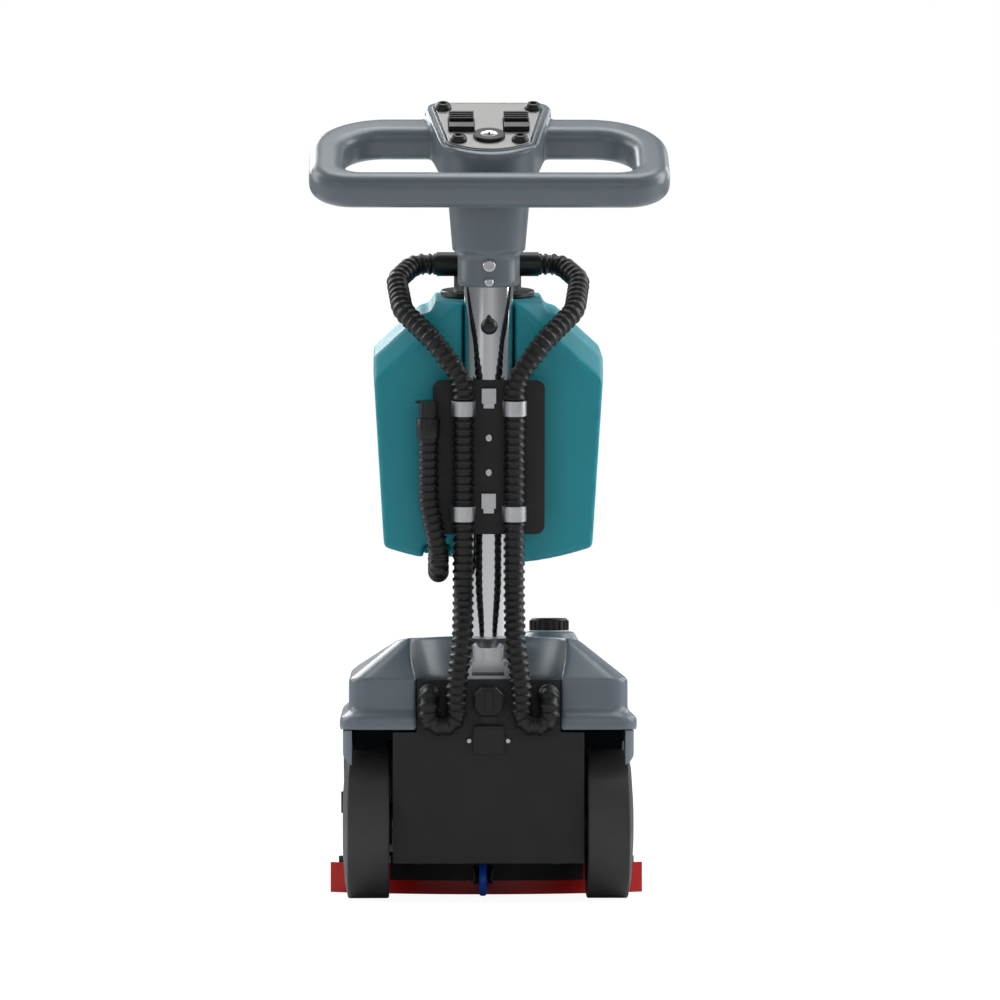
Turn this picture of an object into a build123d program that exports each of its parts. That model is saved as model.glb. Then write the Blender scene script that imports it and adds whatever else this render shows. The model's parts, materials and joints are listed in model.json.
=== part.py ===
from build123d import *
import math
import os

os.makedirs("parts", exist_ok=True)

# A walk-behind floor scrubber. Millimetres, +Z up, floor at z = 0. The operator stands on
# the -Y side, the machine drives toward +Y, and X = 0 is its middle plane.

# clearances: shaft in bore, seated parts, parts that only pass each other
run_gap = 0.05
slip_gap = 0.3
free_gap = 0.8

# wheels and axle
wheel_radius = 100.0
wheel_width = 56.0
wheel_inner_x = 133.0
wheel_y = -139.0
tyre_thickness = 22.0
tyre_round = 3.0
tyre_crown = 3.5
axle_radius = 10.0
bush_wall = 3.0
hub_dome = 3.0
hub_inset = 7.0
boss_wall = 15.0
boss_out = 4.0
axle_end_inset = 12.0

# body outline
body_half_width = 187.0
body_rear_y = -211.0
body_front_y = 330.0
front_round = 150.0
rear_round = 26.0
lip_out = 12.0
lip_rear_out = 10.0
lip_bottom_z = 228.5
lip_edge_z = 245.5
lip_top_z = 256.0
shell_wall = 4.0

# clean-water tank, the grey cover
shoulder_z = 297.0
crown_low_z = 339.0
crown_top_z = 352.0
shoulder_in = 53.0
shoulder_rear_in = 40.0
crown_round_less = 6.0
crown_fall_deg = 5.0
crown_y = -70.0

# the open bay in the cover's rear
scoop_half_width = 97.0
scoop_mid_y = -200.0
scoop_front_y = -104.0
scoop_slope_z = 298.0
scoop_slope = 0.3
scoop_rise = 60.0
scoop_below = 30.0

# filler
tower_x = 85.0
tower_y = -52.0
tower_radius = 37.0
tower_flare = 9.0
tower_flare_height = 12.0
tower_flare_z = 344.0
tower_foot_z = 312.0
tower_top_z = 358.0
tower_round = 8.0
filler_bore = 24.0
strainer_depth = 52.0
strainer_wall = 1.5
strainer_floor = 2.0
strainer_rim = 3.0
cap_radius = 27.0
cap_height = 16.0
cap_round = 3.0
cap_rib_count = 20
cap_rib_radius = 1.8
cap_plug_inset = 3.0
cap_plug_wall = 2.0
cap_plug_depth = 14.0

# lower shell, fenders, deck and bumper
shell_bottom_z = 70.0
arch_gap = 12.0
fender_out = 8.0
fender_low_z = 150.0
fender_front_y = -20.0
well_depth = 31.0
squeegee_slot_z = 92.0
squeegee_slot_front_y = 14.0
deck_radius = 172.0
deck_wall = 4.0
deck_bore = 26.0
deck_top_z = 112.0
deck_bottom_z = 52.0
bumper_low_z = 96.0
bumper_height = 30.0
bumper_out = 17.8
bumper_rear_y = 214.0

# chassis frame
plate_web = 5.0
spine_half_width = 60.0
spine_front_y = 80.0
cross_depth = 36.0
cross_side_gap = 2.0
keel_half_width = 118.0
keel_depth = 30.0
keel_below = 16.0
lift_slot_width = 14.0
lift_slot_top_drop = 2.0
post_width = 72.0
post_depth = 52.0
post_wall = 5.0
ear_thickness = 6.0
ear_depth = 26.0
ear_below = 10.0
ear_side_gap = 4.0
pivot_rod_radius = 4.0

# rear panel
panel_half_width = 128.0
panel_bottom_z = 51.0
panel_top_z = 297.0
panel_wall = 4.0
panel_step_z = 226.0
panel_side_depth = 34.0
panel_side_drop = 24.0

# brush
brush_y = 148.0
brush_radius = 165.0
bristle_height = 32.0
bristle_bore = 60.0
brush_rim_inset = 4.0
brush_plate_height = 12.0
drive_hub_radius = 24.0
drive_hub_flange = 40.0
drive_hub_web = 4.0
drive_shaft_radius = 9.0
gearbox_radius = 56.0
gearbox_height = 34.0
gearbox_shaft_below = 22.0
brush_motor_radius = 46.0
brush_motor_height = 62.0

# machinery inside the body: x, y and height of each block
battery_x = (-88.0, 88.0)
battery_y = (-104.0, 40.0)
battery_height = 88.0
battery_round = 8.0
battery_grip_x = (-30.0, 30.0)
battery_grip_y = (-40.0, -24.0)
battery_grip_height = 10.0
vacuum_place = (-118.0, 118.0)
vacuum_radius = 44.0
vacuum_height = 72.0
vacuum_horn_radius = 18.0
vacuum_horn_height = 20.0
pump_x = (92.0, 150.0)
pump_y = (86.0, 130.0)
pump_height = 40.0
pump_head_radius = 17.0
control_x = (104.0, 176.0)
control_y = (-18.0, 60.0)
control_height = 62.0
control_round = 5.0

# squeegee
squeegee_half_width = 213.5
squeegee_mid_y = -69.0
squeegee_end_y = -16.0
front_blade_inset = 12.0
blade_thickness = 4.0
blade_height = 41.0
front_blade_lower = 2.0
blade_spread = 24.0
clamp_low_z = 19.0
clamp_high_z = 50.0
clamp_half_width = 131.5
clamp_thickness = 4.0
channel_height = 14.0
channel_inset = 14.0
channel_top_drop = 1.0
nozzle_radius = 9.5
nozzle_height = 26.0
nozzle_forward = 2.0
lift_pivot_y = -178.0
lift_pivot_z = 66.0
lift_arm_x = 92.0
lift_eye_radius = 9.0
lift_eye_width = 8.0
lift_link_half_depth = 4.0
lift_link_half_height = 8.0
lift_foot_width = 16.0
lift_foot_depth = 14.0
lift_foot_height = 18.0
knob_inset = 17.0
knob_forward = 10.0
knob_cap_radius = 6.0
knob_cap_height = 9.0
knob_stud_radius = 2.5

# guide roller behind the squeegee
roller_x = -6.0
roller_y = -99.0
roller_radius = 23.0
roller_width = 10.6
roller_round = 4.0
roller_axle_radius = 4.0
roller_axle_out = 8.0
roller_nut_radius = 6.0
roller_nut_height = 4.0
fork_thickness = 3.0
fork_side_gap = 5.5
fork_height = 22.0
fork_behind = 5.0
fork_rise = 4.0

# mast
hinge_y = -154.0
hinge_z = 311.0
mast_lean = 7.0
hinge_pin_radius = 6.0
pin_head_out = 3.0
foot_width = 43.0
knuckle_radius = 12.5
knuckle_flat_low = -4.0
knuckle_flat_high = 10.0
foot_bar_low = 10.0
foot_bar_high = 30.0
foot_bar_round = 4.0
foot_rib_width = 12.4
foot_rib_out = 4.0
foot_rib_low = 6.0
foot_rib_high = 42.0
foot_taper_low = 29.0
foot_taper_radius = 17.0
foot_ring_out = 1.0
foot_ring_height = 3.0
spigot_length = 30.0
mast_radius = 33.0
mast_wall = 3.0
mast_start = 47.0
mast_end = 566.0
cheek_thickness = 7.0
cheek_radius = 13.0
clevis_half_width = 34.0
clevis_half_depth = 26.0
clevis_base = 4.0
clevis_room_gap = 0.7

# plate that carries the hoses and the tank
plate_width = 149.5
plate_low = 186.0
plate_high = 393.0
plate_thickness = 3.0
plate_round = 12.0
saddle_width = 40.0
saddle_depth = 26.0
saddle_end_inset = 30.0
plate_screw_levels = (269.4, 315.8)
plate_screw_radius = 5.4
plate_screw_height = 3.0
plate_screw_shank = 2.5

# knob that frees the mast
knob_level = 467.0
knob_radius = 11.3
knob_stem_radius = 4.0
knob_stem_length = 32.0
knob_neck_radius = 6.0
knob_neck_length = 8.0
knob_reach = 24.0
knob_boss_radius = 8.0
knob_boss_out = 10.0
knob_boss_in = 4.0

# hoses and clips
hose_radius = 14.5
hose_x = 34.0
hose_back = -51.0
clip_levels = (216.0, 357.0)
clip_band_height = 20.0
clip_steel = 1.6
clip_tab_rise = 15.0
clip_tab_width = 19.0
clip_tab_stand = 3.0
clip_foot_width = 14.0
clip_foot_inset = 1.0
elbow_wall = 1.75
elbow_reach = 57.0
elbow_cup = 12.0
elbow_level = 537.0
elbow_riser_x = 26.0
elbow_ridge_share = 0.8
hose_join_level = 150.0
hose_inlet_x = 80.0
hose_inlet_z = 277.0
hose_behind = 5.0
hose_loop_radius = 17.4
hose_loop_gap = 1.0
hose_loop_rise = 8.0
stub_length = 18.0
stub_wall = 2.5

# recovery tank, across the machine and along the mast
tank_half_low = 140.0
tank_half_high = 154.0
tank_low = 141.0
tank_corner_low = 164.0
tank_wide_low = 398.0
tank_wide_high = 420.0
tank_shoulder = 477.0
tank_shoulder_half = 92.0
tank_neck_half = 75.0
tank_neck_slope = 3.0
tank_neck_top = 494.0
tank_back = -6.0
tank_depth = 168.0
tank_wall = 4.0
tank_bevel = 26.0
groove_gap = 2.0
notch_gap = 5.0
mouth_radius = 52.0

# the recovery tank's lid and its float valve
lid_back = 98.0
lid_flange_radius = 63.5
lid_flange_height = 8.0
lid_flange_round = 2.0
lid_neck_radius = 45.5
lid_neck_height = 18.0
lid_plug_wall = 5.0
lid_plug_depth = 14.0
lid_port_radius = 11.0
float_x = -26.0
float_drop = 14.0
cage_radius = 18.0
cage_wall = 2.5
cage_height = 60.0
cage_end = 2.0
cage_mouth = 9.0
cage_slot_count = 3
cage_slot_width = 6.0
cage_slot_height = 34.0
float_ball_radius = 14.0
float_ball_drop = 44.0

# handle
collar_wall = 8.5
collar_low = 516.0
collar_step = 556.0
collar_step_height = 8.0
collar_round = 5.0
neck_width = 97.0
neck_top_width = 110.0
neck_depth_less = 4.0
neck_round = 40.0
neck_top_round = 42.0
neck_top = 640.0
neck_over = 60.0
neck_over_grow = 8.0
neck_over_forward = 6.0
ring_y = -249.0
ring_z = 989.0
ring_tilt = 25.5
ring_half_width = 239.0
ring_bar = 48.0
near_bar_depth = 37.0
far_bar_depth = 56.0
bar_top = 17.0
bar_bottom = -29.0
bar_round = 16.0
bar_span = 177.2
ring_corner_near = 58.0
ring_corner_far = 104.0
hole_corner_near = 22.0
hole_corner_far = 52.0

# console housing and its plate
console_half_far = 89.5
console_half_near = 62.0
console_far = 141.0
console_near = -53.0
console_turn = 46.0
console_rise = 29.0
console_corner = 22.0
console_round = 7.0
plate_far = 126.0
plate_near = -36.0
plate_half_far = 73.5
plate_half_near = 53.5
plate_turn = 24.0
plate_corner = 12.0
plate_steel = 2.6
plate_edge_round = 0.8
well_width = 114.0
well_depth_v = 90.0
well_mid_v = 50.0
well_drop = 28.2

# console fittings
screw_far = (60.5, 107.0)
screw_near = (41.0, -7.0)
cap_screw_radius = 11.5
cap_screw_top = 5.5
cap_screw_height = 8.0
switch_x = 36.6
switch_v = 49.0
switch_width = 35.0
switch_length = 50.0
switch_pin_drop = 3.0
switch_pin_radius = 1.5
switch_skirt = 6.0
switch_low = 5.5
switch_mid = 8.5
switch_high = 10.0
switch_end = 7.0
switch_end_length = 12.0
ridge_places = (-3.0, 4.0, 11.0, 18.0)
ridge_width = 2.6
ridge_height = 5.6
ridge_level = 8.2
key_v = 6.0
bezel_radius = 21.3
bezel_height = 5.0
bezel_round = 2.0
bezel_skirt_radius = 14.5
bezel_skirt_depth = 12.0
barrel_radius = 11.5
barrel_length = 15.0
barrel_top = 4.5
key_slot_width = 2.4
key_slot_length = 10.0
key_slot_depth = 3.0
board_width = 88.0
board_depth = 80.0
board_thickness = 1.6
board_level = 4.0
board_stand = 60.0

# charging inlet and latch on the rear panel
inlet_z = 215.0
latch_z = 268.0
socket_bore = 11.0
socket_depth = 18.5
socket_wall = 1.5
socket_end = 2.0
inlet_flange = (42.0, 38.0)
inlet_flange_thickness = 2.5
inlet_ear_reach = 33.0
inlet_ear_half = 18.0
inlet_screw_x = 26.0
inlet_screw_radius = 2.0
inlet_head_radius = 3.25
inlet_head_height = 2.0
inlet_head_round = 0.9
inlet_screw_length = 8.0
flap_size = (40.5, 34.0)
flap_thickness = 4.0
flap_round = 3.0
flap_barrel_radius = 2.5
flap_barrel_width = 36.0
flap_barrel_rise = 18.5
latch_width = 39.0
latch_corner = 10.0
latch_thickness = 9.0
latch_edge = 1.5
latch_grip = (9.0, 27.0)
latch_grip_out = 4.5
latch_seat_radius = 12.0
latch_seat_height = 2.6
strap_size = (21.0, 8.0)
strap_z = 243.5

# collar screws: level on the mast and head radius
collar_screws = ((546.0, 8.5), (524.0, 6.0))
collar_screw_height = 4.0
collar_screw_shank = 4.0

# drain hose
drain_x = -81.0
drain_drift = 14.0
drain_back = -52.0
drain_port_back = 26.0
drain_port_level = 168.0
drain_port_bore = 10.0
drain_radius = 14.0
drain_bend_level = 134.0
drain_bend_radius = 26.0
cuff_low = 318.0
cuff_high = 344.0
cuff_wall = 1.5
cuff_round = 2.0
cap_high = 367.0
drain_cap_radius = 12.5
drain_tab = (14.0, 8.0, 3.0)
drain_tab_out = 10.0

# sizes that follow from the others
collar_radius = mast_radius + collar_wall
elbow_radius = hose_radius + elbow_wall
plate_back = -mast_radius - plate_thickness
floor_z = deck_top_z + free_gap
tray_z = floor_z + plate_web + slip_gap
far_away = 1000.0


def export(name, shape):
    export_step(shape, f"parts/{name}.step")


def tube(outer, inner, height):
    return Cylinder(outer, height) - Cylinder(inner, height)


def along_x(shape):
    return Rot(0, 90, 0) * shape


def along_y(shape):
    return Rot(90, 0, 0) * shape


def rod_x(radius, low, high):
    return Pos((low + high) / 2, 0, 0) * along_x(Cylinder(radius, high - low))


def post(radius, low, high):
    return Pos(0, 0, (low + high) / 2) * Cylinder(radius, high - low)


def box_between(x_pair, y_pair, z_pair):
    middle = Pos(sum(x_pair) / 2, sum(y_pair) / 2, sum(z_pair) / 2)
    return middle * Box(x_pair[1] - x_pair[0], y_pair[1] - y_pair[0], z_pair[1] - z_pair[0])


def on_mast(shape):
    return Pos(0, hinge_y, hinge_z) * Rot(mast_lean, 0, 0) * shape


def mast_point(x, back, level):
    point = on_mast(Pos(x, back, level) * Sphere(1)).center()
    return (point.X, point.Y, point.Z)


def on_ring(shape):
    return Pos(0, ring_y, ring_z) * Rot(ring_tilt, 0, 0) * shape


def on_console(shape):
    return on_ring(Pos(0, 0, console_rise + plate_steel) * shape)


def mirrored(shape):
    return mirror(shape, about=Plane.YZ)


def group(*shapes):
    return Compound([solid for shape in shapes for solid in shape.solids()])


def both_sides(shape):
    return group(shape, mirrored(shape))


def plan_outline(side_in, rear_in, rear_corner, front_corner):
    half = body_half_width - side_in
    rear = body_rear_y + rear_in
    front = body_front_y - side_in
    middle = Pos(0, (front + rear) / 2)
    blank = middle * Rectangle(2 * half, front - rear)
    rounded = fillet(blank.vertices().sort_by(Axis.Y)[:2], rear_corner)
    return fillet(rounded.vertices().sort_by(Axis.Y)[-2:], front_corner)


def plan_at(z, side_in=0.0, rear_in=None, tighter=0.0):
    rear_in = side_in if rear_in is None else rear_in
    outline = plan_outline(side_in, rear_in, rear_round - tighter, front_round - side_in)
    return Pos(0, 0, z) * outline


def prism(outline, height):
    return extrude(outline, amount=height)


def scoop_plan(grow, z):
    # the bay's outline seen from above: straight at the rear, half an ellipse at the front
    half = scoop_half_width + grow
    depth = scoop_front_y - scoop_mid_y + grow
    rear = body_rear_y - half
    nose = Pos(0, scoop_mid_y) * Ellipse(half, depth)
    strip = Pos(0, (rear + scoop_mid_y) / 2) * Rectangle(2 * half, scoop_mid_y - rear)
    front_half = Pos(0, scoop_mid_y + depth) * Rectangle(2 * half, 2 * depth)
    return Pos(0, 0, z) * ((nose & front_half) + strip)


def scoop(grow):
    # the open bay in the rear of the cover for the mast foot and the hoses
    low = lip_bottom_z - scoop_below
    spread = scoop_rise * scoop_slope
    below = prism(scoop_plan(grow, low), scoop_slope_z - low)
    above = [scoop_plan(grow, scoop_slope_z), scoop_plan(grow + spread, scoop_slope_z + scoop_rise)]
    return below + loft(above)


def cover_form(inset):
    # upright sides, sloping shoulders and a crowned top that falls toward the rear
    skirt = prism(plan_at(lip_bottom_z + inset, inset), shoulder_z - lip_bottom_z - inset)
    rise = crown_low_z - shoulder_z
    overrun = 1.4
    high = plan_at(
        shoulder_z + rise * overrun,
        inset + shoulder_in * overrun,
        inset + shoulder_rear_in * overrun,
        crown_round_less,
    )
    roof = loft([plan_at(shoulder_z, inset), high], ruled=True)
    crown_drop = crown_top_z - crown_low_z
    crown_half = body_half_width - shoulder_in
    crown_radius = (crown_half**2 + crown_drop**2) / (2 * crown_drop)
    length = 3 * (body_front_y - body_rear_y)
    crown = Pos(0, crown_y, crown_top_z - inset) * Rot(-crown_fall_deg, 0, 0)
    crown = crown * Pos(0, 0, -crown_radius) * along_y(Cylinder(crown_radius, length))
    return (skirt + roof) & crown


def clean_tank():
    lip = prism(plan_at(lip_bottom_z, -lip_out, -lip_rear_out), lip_edge_z - lip_bottom_z)
    slope = [plan_at(lip_edge_z, -lip_out, -lip_rear_out), plan_at(lip_top_z)]
    shell = cover_form(0) + lip + loft(slope, ruled=True) - scoop(0)
    shell = shell - (cover_form(shell_wall) - scoop(shell_wall))
    place = Pos(tower_x, tower_y, 0)
    tower = post(tower_radius, tower_foot_z, tower_top_z)
    tower = fillet(tower.edges().group_by(Axis.Z)[-1], tower_round)
    flare = Cone(tower_radius + tower_flare, tower_radius, tower_flare_height)
    outside = place * (tower + Pos(0, 0, tower_flare_z) * flare) - cover_form(shell_wall)
    sleeve = post(filler_bore + shell_wall, tower_foot_z, tower_top_z)
    hole = post(filler_bore, tower_foot_z - shell_wall, tower_top_z + shell_wall)
    return shell + outside + place * sleeve - place * hole


def filler_strainer():
    outer = filler_bore - slip_gap
    low = tower_top_z - strainer_depth
    basket = post(outer, low, tower_top_z + strainer_wall)
    basket = basket - post(outer - strainer_wall, low + strainer_floor, tower_top_z + strainer_depth)
    rim = post(filler_bore + strainer_rim, tower_top_z, tower_top_z + strainer_wall)
    rim = rim - post(outer - strainer_wall, tower_top_z, tower_top_z + strainer_depth)
    return Pos(tower_x, tower_y, 0) * (basket + rim)


def fill_cap():
    low = tower_top_z + strainer_wall + slip_gap
    high = low + cap_height
    grip = post(cap_radius - cap_rib_radius, low, high)
    grip = fillet(grip.edges().group_by(Axis.Z)[-1], cap_round)
    rib = Pos(cap_radius - cap_rib_radius, 0, 0) * post(cap_rib_radius, low, high - cap_round)
    ribs = [Rot(0, 0, turn * 360 / cap_rib_count) * rib for turn in range(cap_rib_count)]
    plug_radius = filler_bore - cap_plug_inset
    plug = post(plug_radius, low - cap_plug_depth, low)
    plug = plug - post(plug_radius - cap_plug_wall, low - cap_plug_depth, low)
    return Pos(tower_x, tower_y, 0) * (grip + ribs + plug)


def lower_shell():
    # the body wall below the cover, with open wheel wells and a fender outside each wheel
    height = lip_bottom_z - shell_bottom_z
    outer = prism(plan_at(shell_bottom_z), height)
    inner = prism(plan_at(shell_bottom_z, shell_wall), height)
    skirt_height = lip_bottom_z - fender_low_z
    skirt = prism(plan_at(fender_low_z, -fender_out), skirt_height)
    room = prism(plan_at(fender_low_z, shell_wall - fender_out), skirt_height - shell_wall)
    middle = prism(plan_at(fender_low_z, shell_wall), skirt_height)
    rear = body_rear_y - 2 * fender_out
    wide = (-far_away, far_away)
    fender = (skirt - room - middle) & box_between(wide, (rear, fender_front_y), (0, lip_bottom_z))
    arch = Pos(0, wheel_y, wheel_radius) * rod_x(wheel_radius + arch_gap, *wide)
    well_half = body_half_width - shell_wall
    well = box_between((-well_half, well_half), (rear, body_rear_y + well_depth), (0, lip_bottom_z))
    slot = box_between(wide, (wheel_y, squeegee_slot_front_y), (0, squeegee_slot_z))
    return outer - inner + fender - arch - well - slot


def front_bumper():
    band = prism(plan_at(bumper_low_z, -bumper_out), bumper_height)
    hollow = prism(plan_at(bumper_low_z, -slip_gap), bumper_height)
    wide = (-far_away, far_away)
    return (band - hollow) & box_between(wide, (bumper_rear_y, far_away), wide)


def chassis_frame():
    # a flat tray, the keel that holds the axle, the mast post and the squeegee's pivot
    rear = body_rear_y + panel_wall + slip_gap
    web_z = (floor_z, floor_z + plate_web)
    side = body_half_width - shell_wall - cross_side_gap
    spine = box_between((-spine_half_width, spine_half_width), (rear, spine_front_y), web_z)
    cross = box_between((-side, side), (-cross_depth / 2, cross_depth / 2), web_z)
    keel_low = wheel_radius - axle_radius - keel_below
    keel_y = (wheel_y - keel_depth / 2, wheel_y + keel_depth / 2)
    keel = box_between((-keel_half_width, keel_half_width), keel_y, (keel_low, web_z[1]))
    keel = keel - Pos(0, wheel_y, wheel_radius) * rod_x(axle_radius, -far_away, far_away)
    slot_x = (lift_arm_x - lift_slot_width / 2, lift_arm_x + lift_slot_width / 2)
    slot = box_between(slot_x, keel_y, (0, wheel_radius - lift_slot_top_drop))
    keel = keel - slot - mirrored(slot)
    top = panel_top_z - panel_wall - slip_gap
    post_x = (-post_width / 2, post_width / 2)
    post_y = (hinge_y - post_depth / 2, hinge_y + post_depth / 2)
    hollow_x = (post_x[0] + post_wall, post_x[1] - post_wall)
    mast_post = box_between(post_x, post_y, (floor_z, top))
    mast_post = mast_post - box_between(hollow_x, post_y, (floor_z, top - post_wall))
    ear_low_x = lift_arm_x + lift_eye_width / 2 + ear_side_gap
    ear_y = (lift_pivot_y - ear_depth / 2, lift_pivot_y + ear_depth / 2)
    ear = box_between((ear_low_x, ear_low_x + ear_thickness), ear_y, (lift_pivot_z - ear_below, web_z[1]))
    reach = ear_low_x + ear_thickness
    bridge = box_between((-reach, reach), ear_y, web_z)
    rod = Pos(0, lift_pivot_y, lift_pivot_z) * rod_x(pivot_rod_radius, -reach, reach)
    return spine + cross + keel + mast_post + ear + mirrored(ear) + bridge + rod


def rear_panel():
    upper_half = scoop_half_width - free_gap
    wall_y = (body_rear_y, body_rear_y + panel_wall)
    low = box_between((-panel_half_width, panel_half_width), wall_y, (panel_bottom_z, panel_step_z))
    high = box_between((-upper_half, upper_half), wall_y, (panel_step_z, panel_top_z))
    deck = prism(scoop_plan(-free_gap, panel_top_z - panel_wall), panel_wall)
    deck = deck - box_between((-far_away, far_away), (-far_away, body_rear_y), (0, far_away))
    side_z = (panel_bottom_z, panel_step_z - panel_side_drop)
    side_x = (panel_half_width - panel_wall, panel_half_width)
    side = box_between(side_x, (body_rear_y, body_rear_y + panel_side_depth), side_z)
    panel = low + high + deck + side + mirrored(side)
    through = 3 * panel_wall
    hole = Pos(hose_inlet_x, body_rear_y, hose_inlet_z) * along_y(Cylinder(hose_radius + slip_gap, through))
    screw = Pos(inlet_screw_x, body_rear_y, inlet_z) * along_y(Cylinder(inlet_screw_radius, through))
    socket = Pos(0, body_rear_y, inlet_z) * along_y(Cylinder(socket_bore + 2 * socket_wall, through))
    return panel - hole - mirrored(hole) - socket - screw - mirrored(screw)


def hose_inlets():
    start = body_rear_y + panel_wall + slip_gap
    stub = along_y(tube(hose_radius, hose_radius - stub_wall, stub_length))
    return both_sides(Pos(hose_inlet_x, start + stub_length / 2, hose_inlet_z) * stub)


def brush_deck():
    shell = post(deck_radius, deck_bottom_z, deck_top_z)
    hollow = post(deck_radius - deck_wall, deck_bottom_z - deck_wall, deck_top_z - deck_wall)
    bore = post(deck_bore, deck_bottom_z, deck_top_z + deck_wall)
    return Pos(0, brush_y, 0) * (shell - hollow - bore)


def brush_drive():
    top = floor_z + gearbox_height
    shaft = post(drive_shaft_radius, deck_top_z - gearbox_shaft_below, top)
    gearbox = post(gearbox_radius, floor_z, top) + shaft
    motor = post(brush_motor_radius, top, top + brush_motor_height)
    return Pos(0, brush_y, 0) * gearbox, Pos(0, brush_y, 0) * motor


def brush_parts():
    low = bristle_height
    rim = brush_radius - brush_rim_inset
    top = deck_top_z - deck_wall - drive_hub_web
    hub = post(drive_hub_radius - slip_gap, low, top) + post(drive_hub_flange, low, low + drive_hub_web)
    plate = post(rim, low, low + brush_plate_height) - post(drive_hub_radius, low, top) - hub
    hub = hub - post(drive_shaft_radius + run_gap, 0, top + drive_hub_web)
    bristles = post(brush_radius, 0, low) - post(bristle_bore, 0, low)
    place = Pos(0, brush_y, 0)
    return place * plate, place * bristles, place * hub


def battery_pack():
    top = tray_z + battery_height
    case = box_between(battery_x, battery_y, (tray_z, top))
    case = fillet(case.edges().filter_by(Axis.Z), battery_round)
    return case + box_between(battery_grip_x, battery_grip_y, (top, top + battery_grip_height))


def vacuum_motor():
    top = floor_z + vacuum_height
    drum = post(vacuum_radius, floor_z, top)
    horn = post(vacuum_horn_radius, top, top + vacuum_horn_height)
    return Pos(*vacuum_place, 0) * (drum + horn)


def water_pump():
    body = box_between(pump_x, pump_y, (floor_z, floor_z + pump_height))
    head = along_y(Cylinder(pump_head_radius, pump_height))
    return body + Pos(sum(pump_x) / 2, pump_y[1] + pump_height / 2, floor_z + pump_height / 2) * head


def control_box():
    case = box_between(control_x, control_y, (tray_z, tray_z + control_height))
    return fillet(case.edges().filter_by(Axis.Z), control_round)


def wheel_parts():
    # a solid tyre with a flat tread, and a hub whose outer face carries on the tyre's crown
    half = wheel_width / 2
    rim_radius = wheel_radius - tyre_thickness
    blank = Cylinder(wheel_radius, wheel_width)
    blank = fillet(blank.edges().filter_by(GeomType.CIRCLE), tyre_round)
    crown = Cone(wheel_radius - tyre_round, rim_radius, tyre_crown)
    tyre = blank + Pos(0, 0, half + tyre_crown / 2) * crown - Cylinder(rim_radius, 2 * wheel_width)
    hub_high = half + tyre_crown
    bore = axle_radius + bush_wall + run_gap
    web = post(rim_radius, hub_inset - half, hub_high)
    dome = Pos(0, 0, hub_high + hub_dome / 2) * Cone(rim_radius, rim_radius / 2, hub_dome)
    boss_low = -half - boss_out
    boss = post(bore + boss_wall, boss_low, half)
    hole = post(bore, boss_low - boss_out, half - axle_end_inset + axle_end_inset / 6)
    turn = Pos(wheel_inner_x + half, wheel_y, wheel_radius) * Rot(0, 90, 0)
    return turn * tyre, turn * (web + dome + boss - hole)


def axle_parts():
    low = wheel_inner_x - boss_out
    high = wheel_inner_x + wheel_width - axle_end_inset
    place = Pos(0, wheel_y, wheel_radius)
    sleeve = rod_x(axle_radius + bush_wall, low, high - free_gap) - rod_x(axle_radius, low, high)
    return place * rod_x(axle_radius, -high, high), both_sides(place * sleeve)


def arc_band(offset, thickness, low_z, high_z, half_width):
    # a strip that follows the squeegee's arc, its ends nearer the front than its middle
    rise = squeegee_end_y - squeegee_mid_y
    radius = (squeegee_half_width**2 + rise**2) / (2 * rise)
    outer = radius - offset
    ring = Pos(0, squeegee_mid_y + radius, 0) * (post(outer, low_z, high_z) - post(outer - thickness, low_z, high_z))
    near = (squeegee_mid_y - 2 * rise, squeegee_mid_y + 2 * rise)
    return ring & box_between((-half_width, half_width), near, (low_z, high_z))


def squeegee_parts():
    rear = arc_band(0, blade_thickness, 0, blade_height, squeegee_half_width)
    front_top = blade_height - front_blade_lower
    front_half = squeegee_half_width - front_blade_inset
    front = arc_band(blade_spread, blade_thickness, 0, front_top, front_half)
    low = blade_height - channel_height
    top = blade_height - channel_top_drop
    channel_half = squeegee_half_width - channel_inset
    channel = arc_band(blade_thickness, blade_spread - blade_thickness, low, top, channel_half)
    nozzle_y = squeegee_mid_y + blade_spread / 2 + nozzle_forward
    nozzle = Pos(0, nozzle_y, 0) * post(nozzle_radius, top, top + nozzle_height)
    strip = arc_band(-clamp_thickness, clamp_thickness, clamp_low_z, clamp_high_z, clamp_half_width)
    return rear, front, channel, nozzle, strip


def lift_arms(obstacles):
    # each arm runs from an eye on the pivot rod to a foot on the squeegee's channel
    half_depth = lift_link_half_depth
    foot_y = squeegee_mid_y + blade_spread / 2
    bar = Polyline(
        (lift_pivot_y - half_depth, lift_pivot_z - lift_link_half_height),
        (foot_y + half_depth, clamp_high_z + half_depth),
        (foot_y + half_depth, clamp_high_z + lift_foot_depth),
        (lift_pivot_y + half_depth, lift_pivot_z + lift_link_half_height),
        close=True,
    )
    link = Pos(lift_arm_x, 0, 0) * extrude(Plane.YZ * make_face(bar), amount=half_depth, both=True)
    foot_x = (lift_arm_x - lift_foot_width / 2, lift_arm_x + lift_foot_width / 2)
    foot_z = (blade_height - channel_top_drop, blade_height + lift_foot_height)
    foot = box_between(foot_x, (foot_y - lift_foot_depth / 2, foot_y + lift_foot_depth / 2), foot_z)
    pivot = Pos(lift_arm_x, lift_pivot_y, lift_pivot_z)
    eye = pivot * along_x(Cylinder(lift_eye_radius, lift_eye_width))
    bore = pivot * along_x(Cylinder(pivot_rod_radius + run_gap, 2 * lift_eye_width))
    arm = eye + link + foot - bore
    for obstacle in obstacles:
        arm = arm - obstacle
    return both_sides(arm)


def squeegee_knobs(obstacles):
    place = Pos(squeegee_half_width - knob_inset, squeegee_end_y + knob_forward, 0)
    low = blade_height - channel_top_drop
    knob = post(knob_cap_radius, low, low + knob_cap_height) + post(knob_stud_radius, low - knob_cap_radius, low)
    knob = place * knob
    for obstacle in obstacles:
        knob = knob - obstacle
    return both_sides(knob)


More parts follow.
